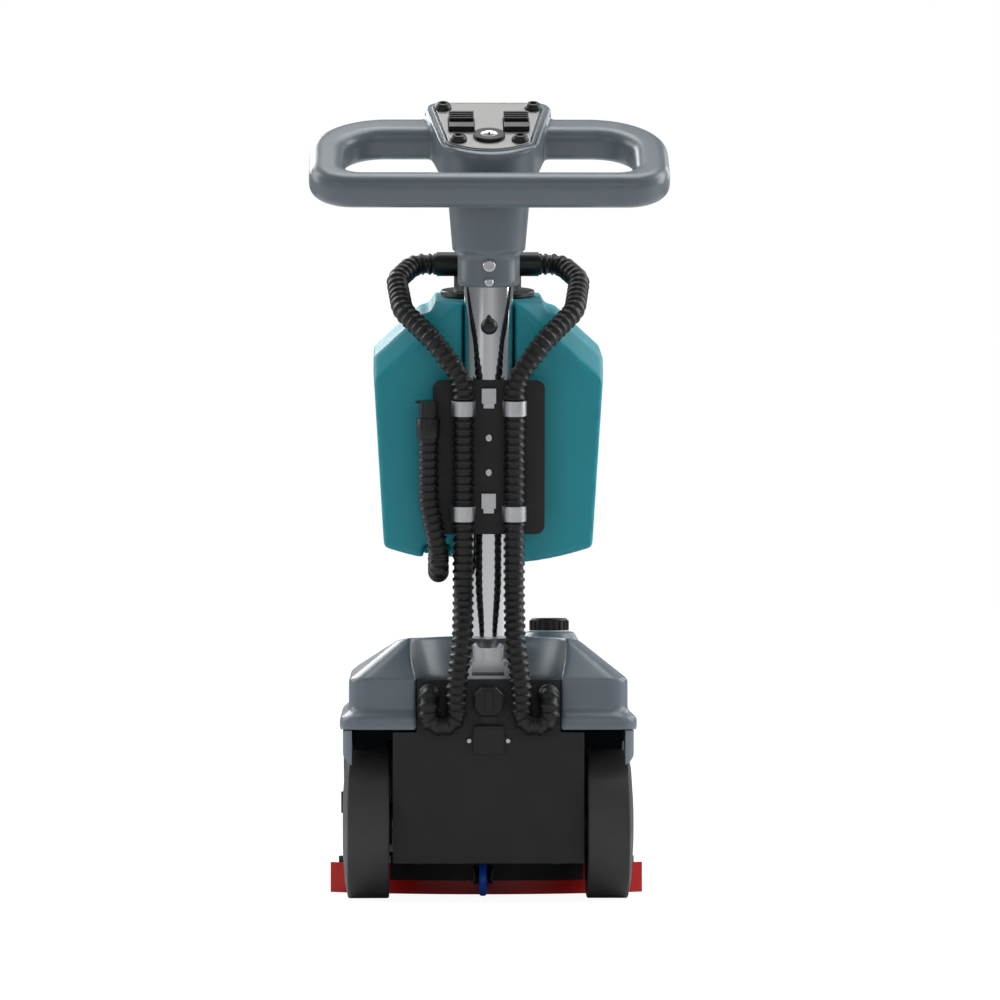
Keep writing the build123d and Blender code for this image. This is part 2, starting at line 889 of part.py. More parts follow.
def roller_parts():
    centre = Pos(roller_x, roller_y, roller_radius)
    wheel = fillet(Cylinder(roller_radius, roller_width).edges().filter_by(GeomType.CIRCLE), roller_round)
    wheel = wheel - Cylinder(roller_axle_radius + run_gap, 2 * roller_width)
    reach = roller_width / 2 + roller_axle_out
    nut_low = roller_width / 2 + 2 * free_gap
    nut = rod_x(roller_nut_radius, nut_low, nut_low + roller_nut_height)
    side_x = (roller_width / 2 + fork_side_gap, roller_width / 2 + fork_side_gap + fork_thickness)
    side_z = (fork_rise - fork_height / 2, fork_rise + fork_height / 2)
    side = box_between(side_x, (-fork_behind, squeegee_mid_y - roller_y), side_z)
    axle = rod_x(roller_axle_radius, -reach, reach)
    holder = centre * (side + mirrored(side) + axle + nut + mirrored(nut))
    clamp_face = squeegee_mid_y - clamp_thickness - run_gap
    keep = box_between((-far_away, far_away), (-far_away, clamp_face), (0, far_away))
    return centre * Rot(0, 90, 0) * wheel, holder & keep


def clevis_parts():
    half = foot_width / 2
    depth = (hinge_y - clevis_half_depth, hinge_y + clevis_half_depth)
    base = box_between((-clevis_half_width, clevis_half_width), depth, (panel_top_z, panel_top_z + clevis_base))
    low_x = half + slip_gap
    axis = Pos(0, hinge_y, hinge_z)
    side = axis * rod_x(cheek_radius, low_x, low_x + cheek_thickness)
    foot = (hinge_y - cheek_radius, hinge_y + cheek_radius)
    side = side + box_between((low_x, low_x + cheek_thickness), foot, (panel_top_z, hinge_z))
    room = axis * rod_x(knuckle_radius + clevis_room_gap, -low_x, low_x)
    clevis = base - room + side + mirrored(side)
    reach = low_x + cheek_thickness + pin_head_out
    clevis = clevis - axis * rod_x(hinge_pin_radius, -reach, reach)
    head = rod_x(hinge_pin_radius + pin_head_out, reach - pin_head_out, reach)
    return clevis, axis * (rod_x(hinge_pin_radius, -reach, reach) + head + mirrored(head))


def inlet_parts():
    face = Pos(0, body_rear_y, inlet_z)
    ears = Polygon((-inlet_ear_reach, 0), (0, -inlet_ear_half), (inlet_ear_reach, 0), (0, inlet_ear_half))
    flange = extrude(Plane.XZ * (Rectangle(*inlet_flange) + ears), amount=inlet_flange_thickness)
    outer = socket_bore + socket_wall
    inner_y = socket_depth - inlet_flange_thickness
    barrel = Pos(0, inner_y / 2, 0) * along_y(Cylinder(outer, inner_y))
    end = Pos(0, inner_y + socket_end / 2, 0) * along_y(Cylinder(outer, socket_end))
    bore = Pos(0, inner_y - socket_depth / 2, 0) * along_y(Cylinder(socket_bore, socket_depth))
    hole = Pos(inlet_screw_x, 0, 0) * along_y(Cylinder(inlet_screw_radius, 2 * socket_depth))
    body = flange + barrel + end - bore - hole - mirrored(hole)
    head = Cylinder(inlet_head_radius, inlet_head_height)
    head = fillet(head.edges().group_by(Axis.Z)[-1], inlet_head_round)
    shank = post(inlet_screw_radius, -inlet_screw_length - inlet_head_height / 2, 0)
    out = inlet_flange_thickness + inlet_head_height / 2
    screw = Pos(inlet_screw_x, -out, 0) * Rot(90, 0, 0) * (head + shank)
    return face * body, both_sides(face * screw)


def flap_and_latch():
    flap_y = body_rear_y - inlet_flange_thickness - slip_gap - flap_thickness / 2
    flap = fillet(Box(flap_size[0], flap_thickness, flap_size[1]).edges().filter_by(Axis.Y), flap_round)
    barrel = Pos(0, -inlet_head_round / 2, flap_barrel_rise) * along_x(Cylinder(flap_barrel_radius, flap_barrel_width))
    flap = Pos(0, flap_y, inlet_z) * (flap + barrel)
    seat_y = body_rear_y - latch_seat_height / 2
    strap = Pos(0, seat_y, strap_z) * Box(strap_size[0], latch_seat_height, strap_size[1])
    seat = Pos(0, seat_y, latch_z) * along_y(Cylinder(latch_seat_radius, latch_seat_height))
    octagon = Rectangle(latch_width, latch_width)
    octagon = chamfer(octagon.vertices(), latch_corner)
    knob = extrude(Plane.XZ * octagon, amount=latch_thickness)
    knob = chamfer(knob.edges().group_by(Axis.Y)[0], latch_edge)
    grip = Pos(0, -latch_thickness - latch_grip_out / 2 + latch_edge / 2, 0)
    grip = grip * Box(latch_grip[0], latch_grip_out + latch_edge, latch_grip[1])
    knob = Pos(0, body_rear_y - latch_seat_height - slip_gap, latch_z) * (knob + grip)
    return flap, group(strap, seat), knob


def mast_tube():
    # the long tube, with the welded boss that guides the release knob's stem
    outside = post(mast_radius, mast_start, mast_end)
    boss_length = knob_boss_out + knob_boss_in
    boss = Pos(0, -mast_radius - boss_length / 2 + knob_boss_in, knob_level)
    boss = boss * along_y(Cylinder(knob_boss_radius, boss_length))
    bore = post(mast_radius - mast_wall, mast_start, mast_end)
    hole = Pos(0, -mast_radius, knob_level) * along_y(Cylinder(knob_stem_radius + run_gap, mast_radius))
    return on_mast(outside + boss - bore - hole)


def mast_foot():
    half = foot_width / 2
    side = (-half, half)
    depth = (-knuckle_radius, knuckle_radius)
    knuckle = rod_x(knuckle_radius, -half, half)
    knuckle = knuckle + box_between(side, depth, (knuckle_flat_low, knuckle_flat_high))
    bar = box_between(side, depth, (foot_bar_low, foot_bar_high))
    bar = fillet(bar.edges().filter_by(Axis.Z), foot_bar_round)
    rib_x = (-foot_rib_width / 2, foot_rib_width / 2)
    rib = box_between(rib_x, (-knuckle_radius - foot_rib_out, 0), (foot_rib_low, foot_rib_high))
    spigot_radius = mast_radius - mast_wall
    taper_height = mast_start - foot_taper_low
    taper = Pos(0, 0, foot_taper_low + taper_height / 2) * Cone(foot_taper_radius, spigot_radius, taper_height)
    ring = post(mast_radius + foot_ring_out, mast_start - foot_ring_height, mast_start)
    spigot = post(spigot_radius, mast_start, mast_start + spigot_length)
    foot = knuckle + bar + rib + taper + ring + spigot
    return on_mast(foot - rod_x(hinge_pin_radius + run_gap, -foot_width, foot_width))


def mount_plate():
    half = plate_width / 2
    face = box_between((-half, half), (plate_back, -mast_radius), (plate_low, plate_high))
    face = fillet(face.edges().filter_by(Axis.Y), plate_round)
    saddle_x = (-saddle_width / 2, saddle_width / 2)
    saddle_z = (plate_low + saddle_end_inset, plate_high - saddle_end_inset)
    saddle = box_between(saddle_x, (-mast_radius, saddle_depth - mast_radius), saddle_z)
    plate = face + saddle - post(mast_radius, plate_low, plate_high)
    for level in plate_screw_levels:
        shank = along_y(Cylinder(plate_screw_radius / 2, 4 * plate_thickness))
        plate = plate - Pos(0, plate_back, level) * shank
    return on_mast(plate)


def button_screw(radius, height, shank):
    # head and shank along Z, seated at z = 0
    head_round = 0.8
    socket_share = 0.42
    head = post(radius, 0, height)
    head = fillet(head.edges().group_by(Axis.Z)[-1], height * head_round)
    socket = Pos(0, 0, height / 2) * extrude(RegularPolygon(radius * socket_share, 6), amount=height)
    return head - socket + post(radius / 2, -shank, 0)


def mast_screws():
    pieces = []
    for level in plate_screw_levels:
        screw = button_screw(plate_screw_radius, plate_screw_height, plate_screw_shank)
        pieces.append(on_mast(Pos(0, plate_back, level) * Rot(90, 0, 0) * screw))
    for level, radius in collar_screws:
        screw = button_screw(radius, collar_screw_height, collar_screw_shank)
        pieces.append(on_mast(Pos(0, -collar_radius, level) * Rot(90, 0, 0) * screw))
    return group(*pieces)


def hose_clips():
    # at each level two bands round the hoses and, between them, a raised tab on its own foot
    inner = hose_radius + slip_gap / 2
    half = clip_band_height / 2
    tab_y = plate_back - clip_tab_stand
    pieces = []
    for level in clip_levels:
        band = Pos(hose_x, hose_back, 0) * tube(inner + clip_steel, inner, clip_band_height)
        tab_x = (-clip_tab_width / 2, clip_tab_width / 2)
        tab_z = (clip_tab_rise - half, clip_tab_rise + half)
        tab = box_between(tab_x, (tab_y - clip_steel, tab_y), tab_z)
        foot_x = (-clip_foot_width / 2, clip_foot_width / 2)
        foot_z = (clip_tab_rise / 2 - half + clip_foot_inset, clip_tab_rise / 2 + half - clip_foot_inset)
        foot = box_between(foot_x, (tab_y, plate_back), foot_z)
        wide = (-far_away, far_away)
        band = band - box_between(wide, (plate_back, far_away), wide)
        place = Pos(0, 0, level)
        pieces += [on_mast(place * band), on_mast(place * mirrored(band)), on_mast(place * (tab + foot))]
    return group(*pieces)


def swept(points, radii, radius):
    route = FilletPolyline(*points, radius=radii)
    start = Plane(origin=route @ 0, z_dir=route % 0)
    solid = sweep(start * Circle(radius), path=route)
    expected = math.pi * radius**2 * route.length
    print("hose", round(route.length), "mm", round(solid.volume / expected, 4))
    return solid


def suction_hoses():
    # from the lid's elbow, out over the shoulder and down through the clips
    points = [
        (elbow_reach, lid_back, elbow_level),
        (99, lid_back, elbow_level),
        (123, 54, 519),
        (115, -5, 483),
        (71, -52, 445),
        (hose_x, hose_back, 392),
        (hose_x, hose_back, hose_join_level),
    ]
    hose = on_mast(swept(points, [24, 32, 46, 60, 60], hose_radius))
    return both_sides(hose)


def lower_hoses():
    # slack loops from the mast down to the base, which bend as the mast leans back
    behind = body_rear_y - lip_rear_out - hose_radius - hose_behind
    inner_x = hose_inlet_x - 2 * hose_loop_radius - hose_loop_gap
    low = lip_bottom_z + hose_loop_rise
    points = [
        mast_point(hose_x, hose_back, hose_join_level),
        mast_point(hose_x, hose_back, hose_join_level - 50),
        (35, behind + 2, 345),
        (inner_x, behind, 281),
        (inner_x, behind, low),
        (hose_inlet_x, behind, low),
        (hose_inlet_x, behind, hose_inlet_z),
        (hose_inlet_x, body_rear_y + panel_wall + slip_gap, hose_inlet_z),
    ]
    loop = hose_loop_radius
    return both_sides(swept(points, [120, 120, 50, loop, loop, 16], hose_radius))


def tank_outline(inset):
    slant = 0.4
    half_low = tank_half_low - inset
    half_high = tank_half_high - inset
    points = [
        (half_low, tank_corner_low + inset * slant),
        (half_high, tank_wide_low),
        (half_high, tank_wide_high - inset * slant),
        (tank_shoulder_half - inset * slant, tank_shoulder - inset),
        (tank_neck_half + tank_neck_slope - inset * slant, tank_shoulder + tank_neck_slope - inset),
        (tank_neck_half - tank_neck_slope - inset, tank_neck_top - inset),
    ]
    left = [(-x, z) for x, z in reversed(points)]
    bottom = ThreePointArc(left[-1], (0, tank_low + inset), points[0])
    return make_face([bottom, Polyline(*points, *left)])


def tank_block(inset):
    block = extrude(Plane.XZ * tank_outline(inset), amount=2 * inset - tank_depth)
    block = Pos(0, tank_back + inset, 0) * block
    rim = block.edges().group_by(Axis.Y)[0]
    shoulders = rim.filter_by(lambda e: tank_wide_high - inset < e.center().Z < tank_shoulder - inset)
    # the bevel's own wall stays as thick as the others
    return chamfer(shoulders, tank_bevel - inset * (2 - math.sqrt(2)))


def mast_groove(grow):
    half = mast_radius + groove_gap + grow
    level = (tank_low - half, tank_neck_top + mast_radius)
    return post(half, *level) + box_between((-half, half), (-2 * half, 0), level)


def drain_notch(grow):
    half = hose_radius + notch_gap + grow
    x = drain_x + drain_drift
    depth = (tank_back - half, drain_port_back + half)
    return box_between((x - half, x + half), depth, (tank_low - half, drain_port_level + grow))


def recovery_tank():
    outer = tank_block(0) - mast_groove(0) - drain_notch(0)
    inner = tank_block(tank_wall) - mast_groove(tank_wall) - drain_notch(tank_wall)
    inside = tank_neck_top - 2 * tank_wall
    mouth = Pos(0, lid_back, 0) * post(mouth_radius, inside, tank_neck_top + tank_wall)
    port = (drain_port_level - tank_wall, drain_port_level + 2 * tank_wall)
    spout = Pos(drain_x + drain_drift, drain_port_back, 0) * post(drain_port_bore, *port)
    return on_mast(outer - inner - mouth - spout)


def tank_lid():
    seat = tank_neck_top + slip_gap
    top = seat + lid_flange_height
    flange = post(lid_flange_radius, seat, top)
    flange = fillet(flange.edges().filter_by(GeomType.CIRCLE), lid_flange_round)
    neck = post(lid_neck_radius, top, top + lid_neck_height)
    plug_radius = mouth_radius - slip_gap
    plug = post(plug_radius, seat - lid_plug_depth, seat)
    plug = plug - post(plug_radius - lid_plug_wall, seat - lid_plug_depth, seat)
    port = Pos(elbow_riser_x, 0, 0) * post(lid_port_radius, seat - lid_plug_depth, top + 2 * lid_neck_height)
    return on_mast(Pos(0, lid_back, 0) * (flange + neck + plug - port - mirrored(port)))


def hose_elbows():
    low = tank_neck_top + slip_gap + lid_flange_height + lid_neck_height
    riser = Pos(elbow_riser_x, 0, 0) * post(elbow_radius, low, elbow_level)
    level = Pos(0, 0, elbow_level)
    knee = level * Pos(elbow_riser_x, 0, 0) * Sphere(elbow_radius)
    arm = level * rod_x(elbow_radius, elbow_riser_x, elbow_reach + elbow_cup)
    cup = level * rod_x(hose_radius, elbow_reach, elbow_reach + 2 * elbow_cup)
    elbow = riser + knee + arm - cup
    ridge = level * rod_x(elbow_radius * elbow_ridge_share, -elbow_riser_x, elbow_riser_x)
    return on_mast(Pos(0, lid_back, 0) * (elbow + mirrored(elbow) + ridge))


def float_valve():
    top = tank_neck_top - float_drop
    low = top - cage_height
    cage = post(cage_radius, low, top) - post(cage_radius - cage_wall, low, top)
    middle = Pos(0, 0, (low + top) / 2)
    for turn in range(cage_slot_count):
        slot = Box(3 * cage_radius, cage_slot_width, cage_slot_height)
        cage = cage - middle * Rot(0, 0, turn * 180 / cage_slot_count) * slot
    mouth = post(cage_radius, top, top + cage_end) - post(cage_mouth, top, top + cage_end)
    floor = post(cage_radius, low - cage_end, low)
    place = Pos(float_x, lid_back, 0)
    ball = Pos(0, 0, top - float_ball_drop) * Sphere(float_ball_radius)
    return group(on_mast(place * (cage + mouth + floor)), on_mast(place * ball))


def drain_hose():
    x = drain_x + drain_drift
    bend = drain_bend_radius
    points = [
        (drain_x, drain_back, cuff_low),
        (drain_x, drain_back, 231),
        (x, drain_back, 166),
        (x, drain_back, drain_bend_level),
        (x, drain_port_back, drain_bend_level),
        (x, drain_port_back, drain_port_level),
    ]
    hose = swept(points, [150, 120, bend, bend], drain_radius)
    cuff = post(drain_radius + cuff_wall, cuff_low, cuff_high)
    cuff = fillet(cuff.edges().filter_by(GeomType.CIRCLE), cuff_round)
    return on_mast(hose + Pos(drain_x, drain_back, 0) * cuff)


def drain_cap():
    body = post(drain_cap_radius, cuff_high + slip_gap, cap_high)
    tab = Pos(-drain_tab_out, 0, cap_high - drain_tab[2] / 2) * Box(*drain_tab)
    return on_mast(Pos(drain_x, drain_back, 0) * (body + tab))


def release_knob():
    inside = -mast_radius + mast_wall
    stem = Pos(0, inside - knob_stem_length / 2, 0) * along_y(Cylinder(knob_stem_radius, knob_stem_length))
    neck_y = -mast_radius - knob_boss_out - slip_gap - knob_neck_length / 2
    neck = Pos(0, neck_y, 0) * along_y(Cylinder(knob_neck_radius, knob_neck_length))
    ball = Pos(0, -mast_radius - knob_reach, 0) * Sphere(knob_radius)
    return on_mast(Pos(0, 0, knob_level) * (stem + neck + ball))


def two_radius_outline(half_width, near, far, near_round, far_round):
    blank = Pos(0, (near + far) / 2) * Rectangle(2 * half_width, far - near)
    rounded = fillet(blank.vertices().sort_by(Axis.Y)[:2], near_round)
    return fillet(rounded.vertices().sort_by(Axis.Y)[-2:], far_round)


def ring_profile():
    near = -bar_span / 2
    far = bar_span / 2
    outer = two_radius_outline(
        ring_half_width,
        near - near_bar_depth / 2,
        far + far_bar_depth / 2,
        ring_corner_near,
        ring_corner_far,
    )
    hole = two_radius_outline(
        ring_half_width - ring_bar,
        near + near_bar_depth / 2,
        far - far_bar_depth / 2,
        hole_corner_near,
        hole_corner_far,
    )
    return outer - hole


def keystone(half_far, half_near, far, near, turn, corner, grow=0.0):
    # a plate outline that narrows toward the operator and ends in an arc
    turn_v = near + turn - grow
    left = [(-half_far - grow, far + grow), (-half_near - grow, turn_v)]
    right = [(half_near + grow, turn_v), (half_far + grow, far + grow)]
    arc = ThreePointArc(left[1], (0, near - grow), right[0])
    sides = [Line(right[0], right[1]), Line(right[1], left[0]), Line(left[0], left[1])]
    face = make_face([arc, *sides])
    return fillet(face.vertices().group_by(Axis.Y)[-1], corner)


def console_block():
    outline = keystone(
        console_half_far,
        console_half_near,
        console_far,
        console_near,
        console_turn,
        console_corner,
    )
    block = Pos(0, 0, bar_bottom) * prism(outline, console_rise - bar_bottom)
    return fillet(block.edges().group_by(Axis.Z)[-1], console_round)


def handle_neck():
    def section(level, forward, width, corner):
        return Pos(0, forward, level) * RectangleRounded(width, width - neck_depth_less, corner)

    low = section(collar_step + collar_step_height, 0, neck_width, neck_round)
    high = section(neck_top, 0, neck_top_width, neck_top_round)
    over = section(neck_top + neck_over, neck_over_forward, neck_top_width + neck_over_grow, neck_top_round)
    neck = loft([low, high], ruled=True) + loft([high, over], ruled=True)
    step = Cone(collar_radius, (neck_width - neck_depth_less) / 2, collar_step_height)
    collar = post(collar_radius, collar_low, collar_step)
    collar = fillet(collar.edges().group_by(Axis.Z)[0], collar_round)
    return neck + Pos(0, 0, collar_step + collar_step_height / 2) * step + collar


def handle_loop():
    bar = Pos(0, 0, bar_bottom) * prism(ring_profile(), bar_top - bar_bottom)
    bar = fillet(bar.edges().group_by(Axis.Z)[0] + bar.edges().group_by(Axis.Z)[-1], bar_round)
    wide = (-far_away, far_away)
    above = on_ring(box_between(wide, wide, (0, far_away)))
    handle = on_ring(bar + console_block()) + (on_mast(handle_neck()) - above)
    well_x = (-well_width / 2, well_width / 2)
    well_v = (well_mid_v - well_depth_v / 2, well_mid_v + well_depth_v / 2)
    well_n = (console_rise - well_drop, console_rise + free_gap)
    key_room = Pos(0, key_v, 0) * post(bezel_skirt_radius + cuff_wall, *well_n)
    socket = post(mast_radius, collar_low - free_gap, mast_end)
    handle = handle - on_ring(box_between(well_x, well_v, well_n) + key_room) - on_mast(socket)
    for level, radius in collar_screws:
        hole = along_y(Cylinder(radius / 2, 3 * collar_screw_shank))
        handle = handle - on_mast(Pos(0, -collar_radius, level) * hole)
    return handle


def console_plate():
    outline = keystone(plate_half_far, plate_half_near, plate_far, plate_near, plate_turn, plate_corner)
    plate = Pos(0, 0, -plate_steel) * prism(outline, plate_steel)
    plate = fillet(plate.edges().group_by(Axis.Z)[-1], plate_edge_round)
    window = Box(switch_width + 2 * slip_gap, switch_length + 2 * slip_gap, 4 * plate_steel)
    window = Pos(switch_x, switch_v, 0) * window
    key_hole = Pos(0, key_v, 0) * Cylinder(bezel_skirt_radius + slip_gap, 4 * plate_steel)
    return on_console(plate - window - mirrored(window) - key_hole)


def panel_screws():
    pieces = []
    for x, v in (screw_far, screw_near):
        cone = Cone(cap_screw_radius, cap_screw_top, cap_screw_height)
        cone = Pos(x, v, cap_screw_height / 2) * cone
        pieces += [on_console(cone), on_console(mirrored(cone))]
    return group(*pieces)


def switch_cap():
    # a rocker with a hollow, ridged top
    half = switch_length / 2 - free_gap
    dip = switch_length / 2 - switch_end_length
    side = Polyline(
        (-half, -switch_skirt),
        (-half, switch_end),
        (-dip, switch_mid),
        (0, switch_low),
        (dip, switch_mid),
        (half, switch_high),
        (half, -switch_skirt),
        close=True,
    )
    cap = extrude(Plane.YZ * make_face(side), amount=switch_width / 2 - free_gap, both=True)
    ridge = Box(switch_width - 4 * free_gap, ridge_width, ridge_height)
    ridges = [Pos(0, v, ridge_level) * ridge for v in ridge_places]
    pin_hole = Pos(0, 0, -switch_pin_drop) * along_x(Cylinder(switch_pin_radius, 2 * switch_width))
    return cap + ridges - pin_hole


def switches():
    cap = Pos(switch_x, switch_v, 0) * switch_cap()
    return on_console(cap), on_console(mirrored(cap))


def control_board():
    stand_low = console_rise - well_drop
    board_low = board_level - board_thickness / 2
    half = board_stand / 2
    stand = box_between((-half, half), (well_mid_v - half, well_mid_v + half), (stand_low, board_low))
    board = Pos(0, well_mid_v, board_level) * Box(board_width, board_depth, board_thickness)
    return on_ring(board + stand)


def key_parts():
    bore = barrel_radius + run_gap
    ring = fillet(post(bezel_radius, 0, bezel_height).edges().group_by(Axis.Z)[-1], bezel_round)
    skirt = post(bezel_skirt_radius, -bezel_skirt_depth, 0)
    bezel = ring + skirt - post(bore, -bezel_skirt_depth, bezel_height)
    face = post(barrel_radius, barrel_top - barrel_length, barrel_top)
    slot = Pos(0, 0, barrel_top) * Box(key_slot_width, key_slot_length, key_slot_depth)
    place = Pos(0, key_v, 0)
    return on_console(place * bezel), on_console(place * (face - slot))


def build():
    gearbox, motor = brush_drive()
    brush_plate, bristles, hub = brush_parts()
    tyre, wheel_hub = wheel_parts()
    axle, bushes = axle_parts()
    rear_blade, front_blade, channel, nozzle, strip = squeegee_parts()
    solid_bands = [rear_blade, front_blade, channel, strip]
    roller, roller_axle = roller_parts()
    clevis, pin = clevis_parts()
    inlet, inlet_screws = inlet_parts()
    flap, strap, latch = flap_and_latch()
    switch_right, switch_left = switches()
    bezel, barrel = key_parts()
    return {
        "chassis_frame": chassis_frame(),
        "rear_panel": rear_panel(),
        "lower_shell": lower_shell(),
        "clean_tank": clean_tank(),
        "front_bumper": front_bumper(),
        "brush_deck": brush_deck(),
        "battery_pack": battery_pack(),
        "brush_motor": motor,
        "brush_gearbox": gearbox,
        "vacuum_motor": vacuum_motor(),
        "water_pump": water_pump(),
        "control_box": control_box(),
        "wheel_axle": axle,
        "wheel_bushes": bushes,
        "mast_clevis": clevis,
        "hinge_pin": pin,
        "hose_inlets": hose_inlets(),
        "charging_inlet": inlet,
        "inlet_screws": inlet_screws,
        "latch_strap": strap,
        "filler_strainer": filler_strainer(),
        "lower_hoses": lower_hoses(),
        "fill_cap": fill_cap(),
        "inlet_flap": flap,
        "latch_knob": latch,
        "tyre_right": tyre,
        "hub_right": wheel_hub,
        "tyre_left": mirrored(tyre),
        "hub_left": mirrored(wheel_hub),
        "brush_plate": brush_plate,
        "brush_bristles": bristles,
        "drive_hub": hub,
        "squeegee_blades": group(rear_blade, front_blade),
        "squeegee_channel": channel + nozzle,
        "squeegee_clamp": strip,
        "squeegee_arms": lift_arms(solid_bands),
        "squeegee_knobs": squeegee_knobs(solid_bands),
        "roller_axle": roller_axle,
        "guide_roller": roller,
        "mast_foot": mast_foot(),
        "mast_tube": mast_tube(),
        "mount_plate": mount_plate(),
        "mast_screws": mast_screws(),
        "hose_clips": hose_clips(),
        "recovery_tank": recovery_tank(),
        "tank_lid": tank_lid(),
        "hose_elbows": hose_elbows(),
        "float_valve": float_valve(),
        "suction_hoses": suction_hoses(),
        "drain_hose": drain_hose(),
        "drain_cap": drain_cap(),
        "release_knob": release_knob(),
        "handle_loop": handle_loop(),
        "console_plate": console_plate(),
        "panel_screws": panel_screws(),
        "control_board": control_board(),
        "switch_right": switch_right,
        "switch_left": switch_left,
        "key_bezel": bezel,
        "key_barrel": barrel,
    }


pieces = build()
for name, shape in pieces.items():
    export(name, shape)
print(len(pieces), "nodes")
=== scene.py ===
import json
import math

import bmesh
import bpy
from mathutils import Matrix, Vector
from mathutils.bvhtree import BVHTree


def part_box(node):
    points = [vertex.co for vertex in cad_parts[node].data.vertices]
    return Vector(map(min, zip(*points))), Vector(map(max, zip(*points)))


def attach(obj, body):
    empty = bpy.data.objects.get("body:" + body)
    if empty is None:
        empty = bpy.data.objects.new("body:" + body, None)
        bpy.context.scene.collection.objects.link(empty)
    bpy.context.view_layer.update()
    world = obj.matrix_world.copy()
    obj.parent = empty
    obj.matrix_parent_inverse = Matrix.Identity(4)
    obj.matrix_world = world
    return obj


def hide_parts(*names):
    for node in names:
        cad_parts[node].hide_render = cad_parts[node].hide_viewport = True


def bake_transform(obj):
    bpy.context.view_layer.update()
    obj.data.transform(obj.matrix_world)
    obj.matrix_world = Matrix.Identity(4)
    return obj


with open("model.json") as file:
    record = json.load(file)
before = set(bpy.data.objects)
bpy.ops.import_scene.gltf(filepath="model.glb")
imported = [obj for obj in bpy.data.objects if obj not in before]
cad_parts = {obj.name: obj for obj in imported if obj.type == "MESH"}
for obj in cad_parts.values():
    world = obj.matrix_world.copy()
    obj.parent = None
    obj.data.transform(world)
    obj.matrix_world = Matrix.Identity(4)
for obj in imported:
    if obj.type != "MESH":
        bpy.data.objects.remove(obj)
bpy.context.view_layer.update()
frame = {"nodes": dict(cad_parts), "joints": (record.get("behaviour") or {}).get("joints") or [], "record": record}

nodes = frame["nodes"]
record = frame["record"]
millimetre = 0.001
bodyOf = {name: body for body, names in record["behaviour"]["bodies"].items() for name in names}
nodeSlot = {entry["node"]: entry["material_slot"] for entry in record["subparts"]}

# where things are, read from the frame
joints = {joint["name"]: joint for joint in frame["joints"]}
hingePoint = Vector(joints["mast_tilt"]["pos_m"])
mastUp = Vector(joints["drain_cap_pull"]["axis"]).normalized()
mastBack = Vector(joints["release_pull"]["axis"]).normalized()
plateUp = -Vector(joints["key_turn"]["axis"]).normalized()
keyPoint = Vector(joints["key_turn"]["pos_m"])


# camera and stage
view = {
    "distance": 7.85, "height": 0.537, "aimX": 0.0165, "aimY": -0.139,  # metres
    "turn": 1.0,  # degrees round the aim
    "lens": 209.4, "sensor": 36, "farthest": 60,
}
studio = {
    "skyTone": 1.0, "fill": 0.24, "fillColour": (0.95, 0.98, 1, 1),
    "floorHalf": 14.0, "floorTone": 0.8, "shadowTone": 0.22,
    "fadeFrom": 0.4, "fadeTo": 1.2, "glowNear": 0.93,  # the floor turns to pure white over this way
}
# place, what it points at, width and height, watts
lamps = {
    "keyLeft": ((-2.6, 0.6, 1.9), (0, -0.1, 0.6), (1.2, 2.6), 38),
    "keyRight": ((2.6, 0.2, 1.8), (0, -0.1, 0.6), (1.2, 2.6), 52),
    "overhead": ((0.2, 0.3, 3.2), (0, 0, 0.6), (2.2, 1.6), 40),
    "rimLeft": ((-1.4, 2.4, 2.2), (0, -0.1, 0.7), (1.3, 1.6), 46),
    "rimRight": ((1.9, 2.2, 1.8), (0, -0.1, 0.7), (0.5, 1.6), 14),
    "frontFill": ((0.9, -5.0, 1.7), (0, 0, 0.6), (2.4, 1.8), 16),
    "frontLeft": ((-2.6, -3.6, 1.2), (0, 0, 0.6), (1.0, 2.0), 10),
}


def makeCamera():
    camera = bpy.data.objects.new("camera", bpy.data.cameras.new("camera"))
    bpy.context.collection.objects.link(camera)
    aim = Vector((view["aimX"], view["aimY"], view["height"]))
    turn = math.radians(view["turn"])
    reach = view["distance"]
    camera.location = aim + Vector((-math.sin(turn) * reach, -math.cos(turn) * reach, 0))
    camera.rotation_euler = (math.pi / 2, 0, -turn)
    camera.data.lens = view["lens"]
    camera.data.sensor_width = view["sensor"]
    camera.data.clip_end = view["farthest"]
    bpy.context.scene.camera = camera


def areaLight(name, place, aim, size, power):
    lamp = bpy.data.lights.new(name, "AREA")
    lamp.shape = "RECTANGLE"
    lamp.size, lamp.size_y = size
    lamp.energy = power
    holder = bpy.data.objects.new(name, lamp)
    holder.location = place
    holder.rotation_euler = (Vector(aim) - Vector(place)).to_track_quat("-Z", "Y").to_euler()
    holder.visible_camera = False
    bpy.context.collection.objects.link(holder)


def makeStage():
    scene = bpy.context.scene
    scene.view_settings.view_transform = "Standard"
    world = scene.world or bpy.data.worlds.new("studio")
    scene.world = world
    world.use_nodes = True
    tree = world.node_tree
    tree.nodes.clear()
    out = tree.nodes.new("ShaderNodeOutputWorld")
    mix = tree.nodes.new("ShaderNodeMixShader")
    sky = tree.nodes.new("ShaderNodeBackground")
    fill = tree.nodes.new("ShaderNodeBackground")
    path = tree.nodes.new("ShaderNodeLightPath")
    sky.inputs["Strength"].default_value = studio["skyTone"]
    sky.inputs["Color"].default_value = (1, 1, 1, 1)
    fill.inputs["Strength"].default_value = studio["fill"]
    fill.inputs["Color"].default_value = studio["fillColour"]
    tree.links.new(path.outputs["Is Camera Ray"], mix.inputs["Fac"])
    tree.links.new(fill.outputs[0], mix.inputs[1])
    tree.links.new(sky.outputs[0], mix.inputs[2])
    tree.links.new(mix.outputs[0], out.inputs["Surface"])
    for name, (place, aim, size, power) in lamps.items():
        areaLight(name, place, aim, size, power)


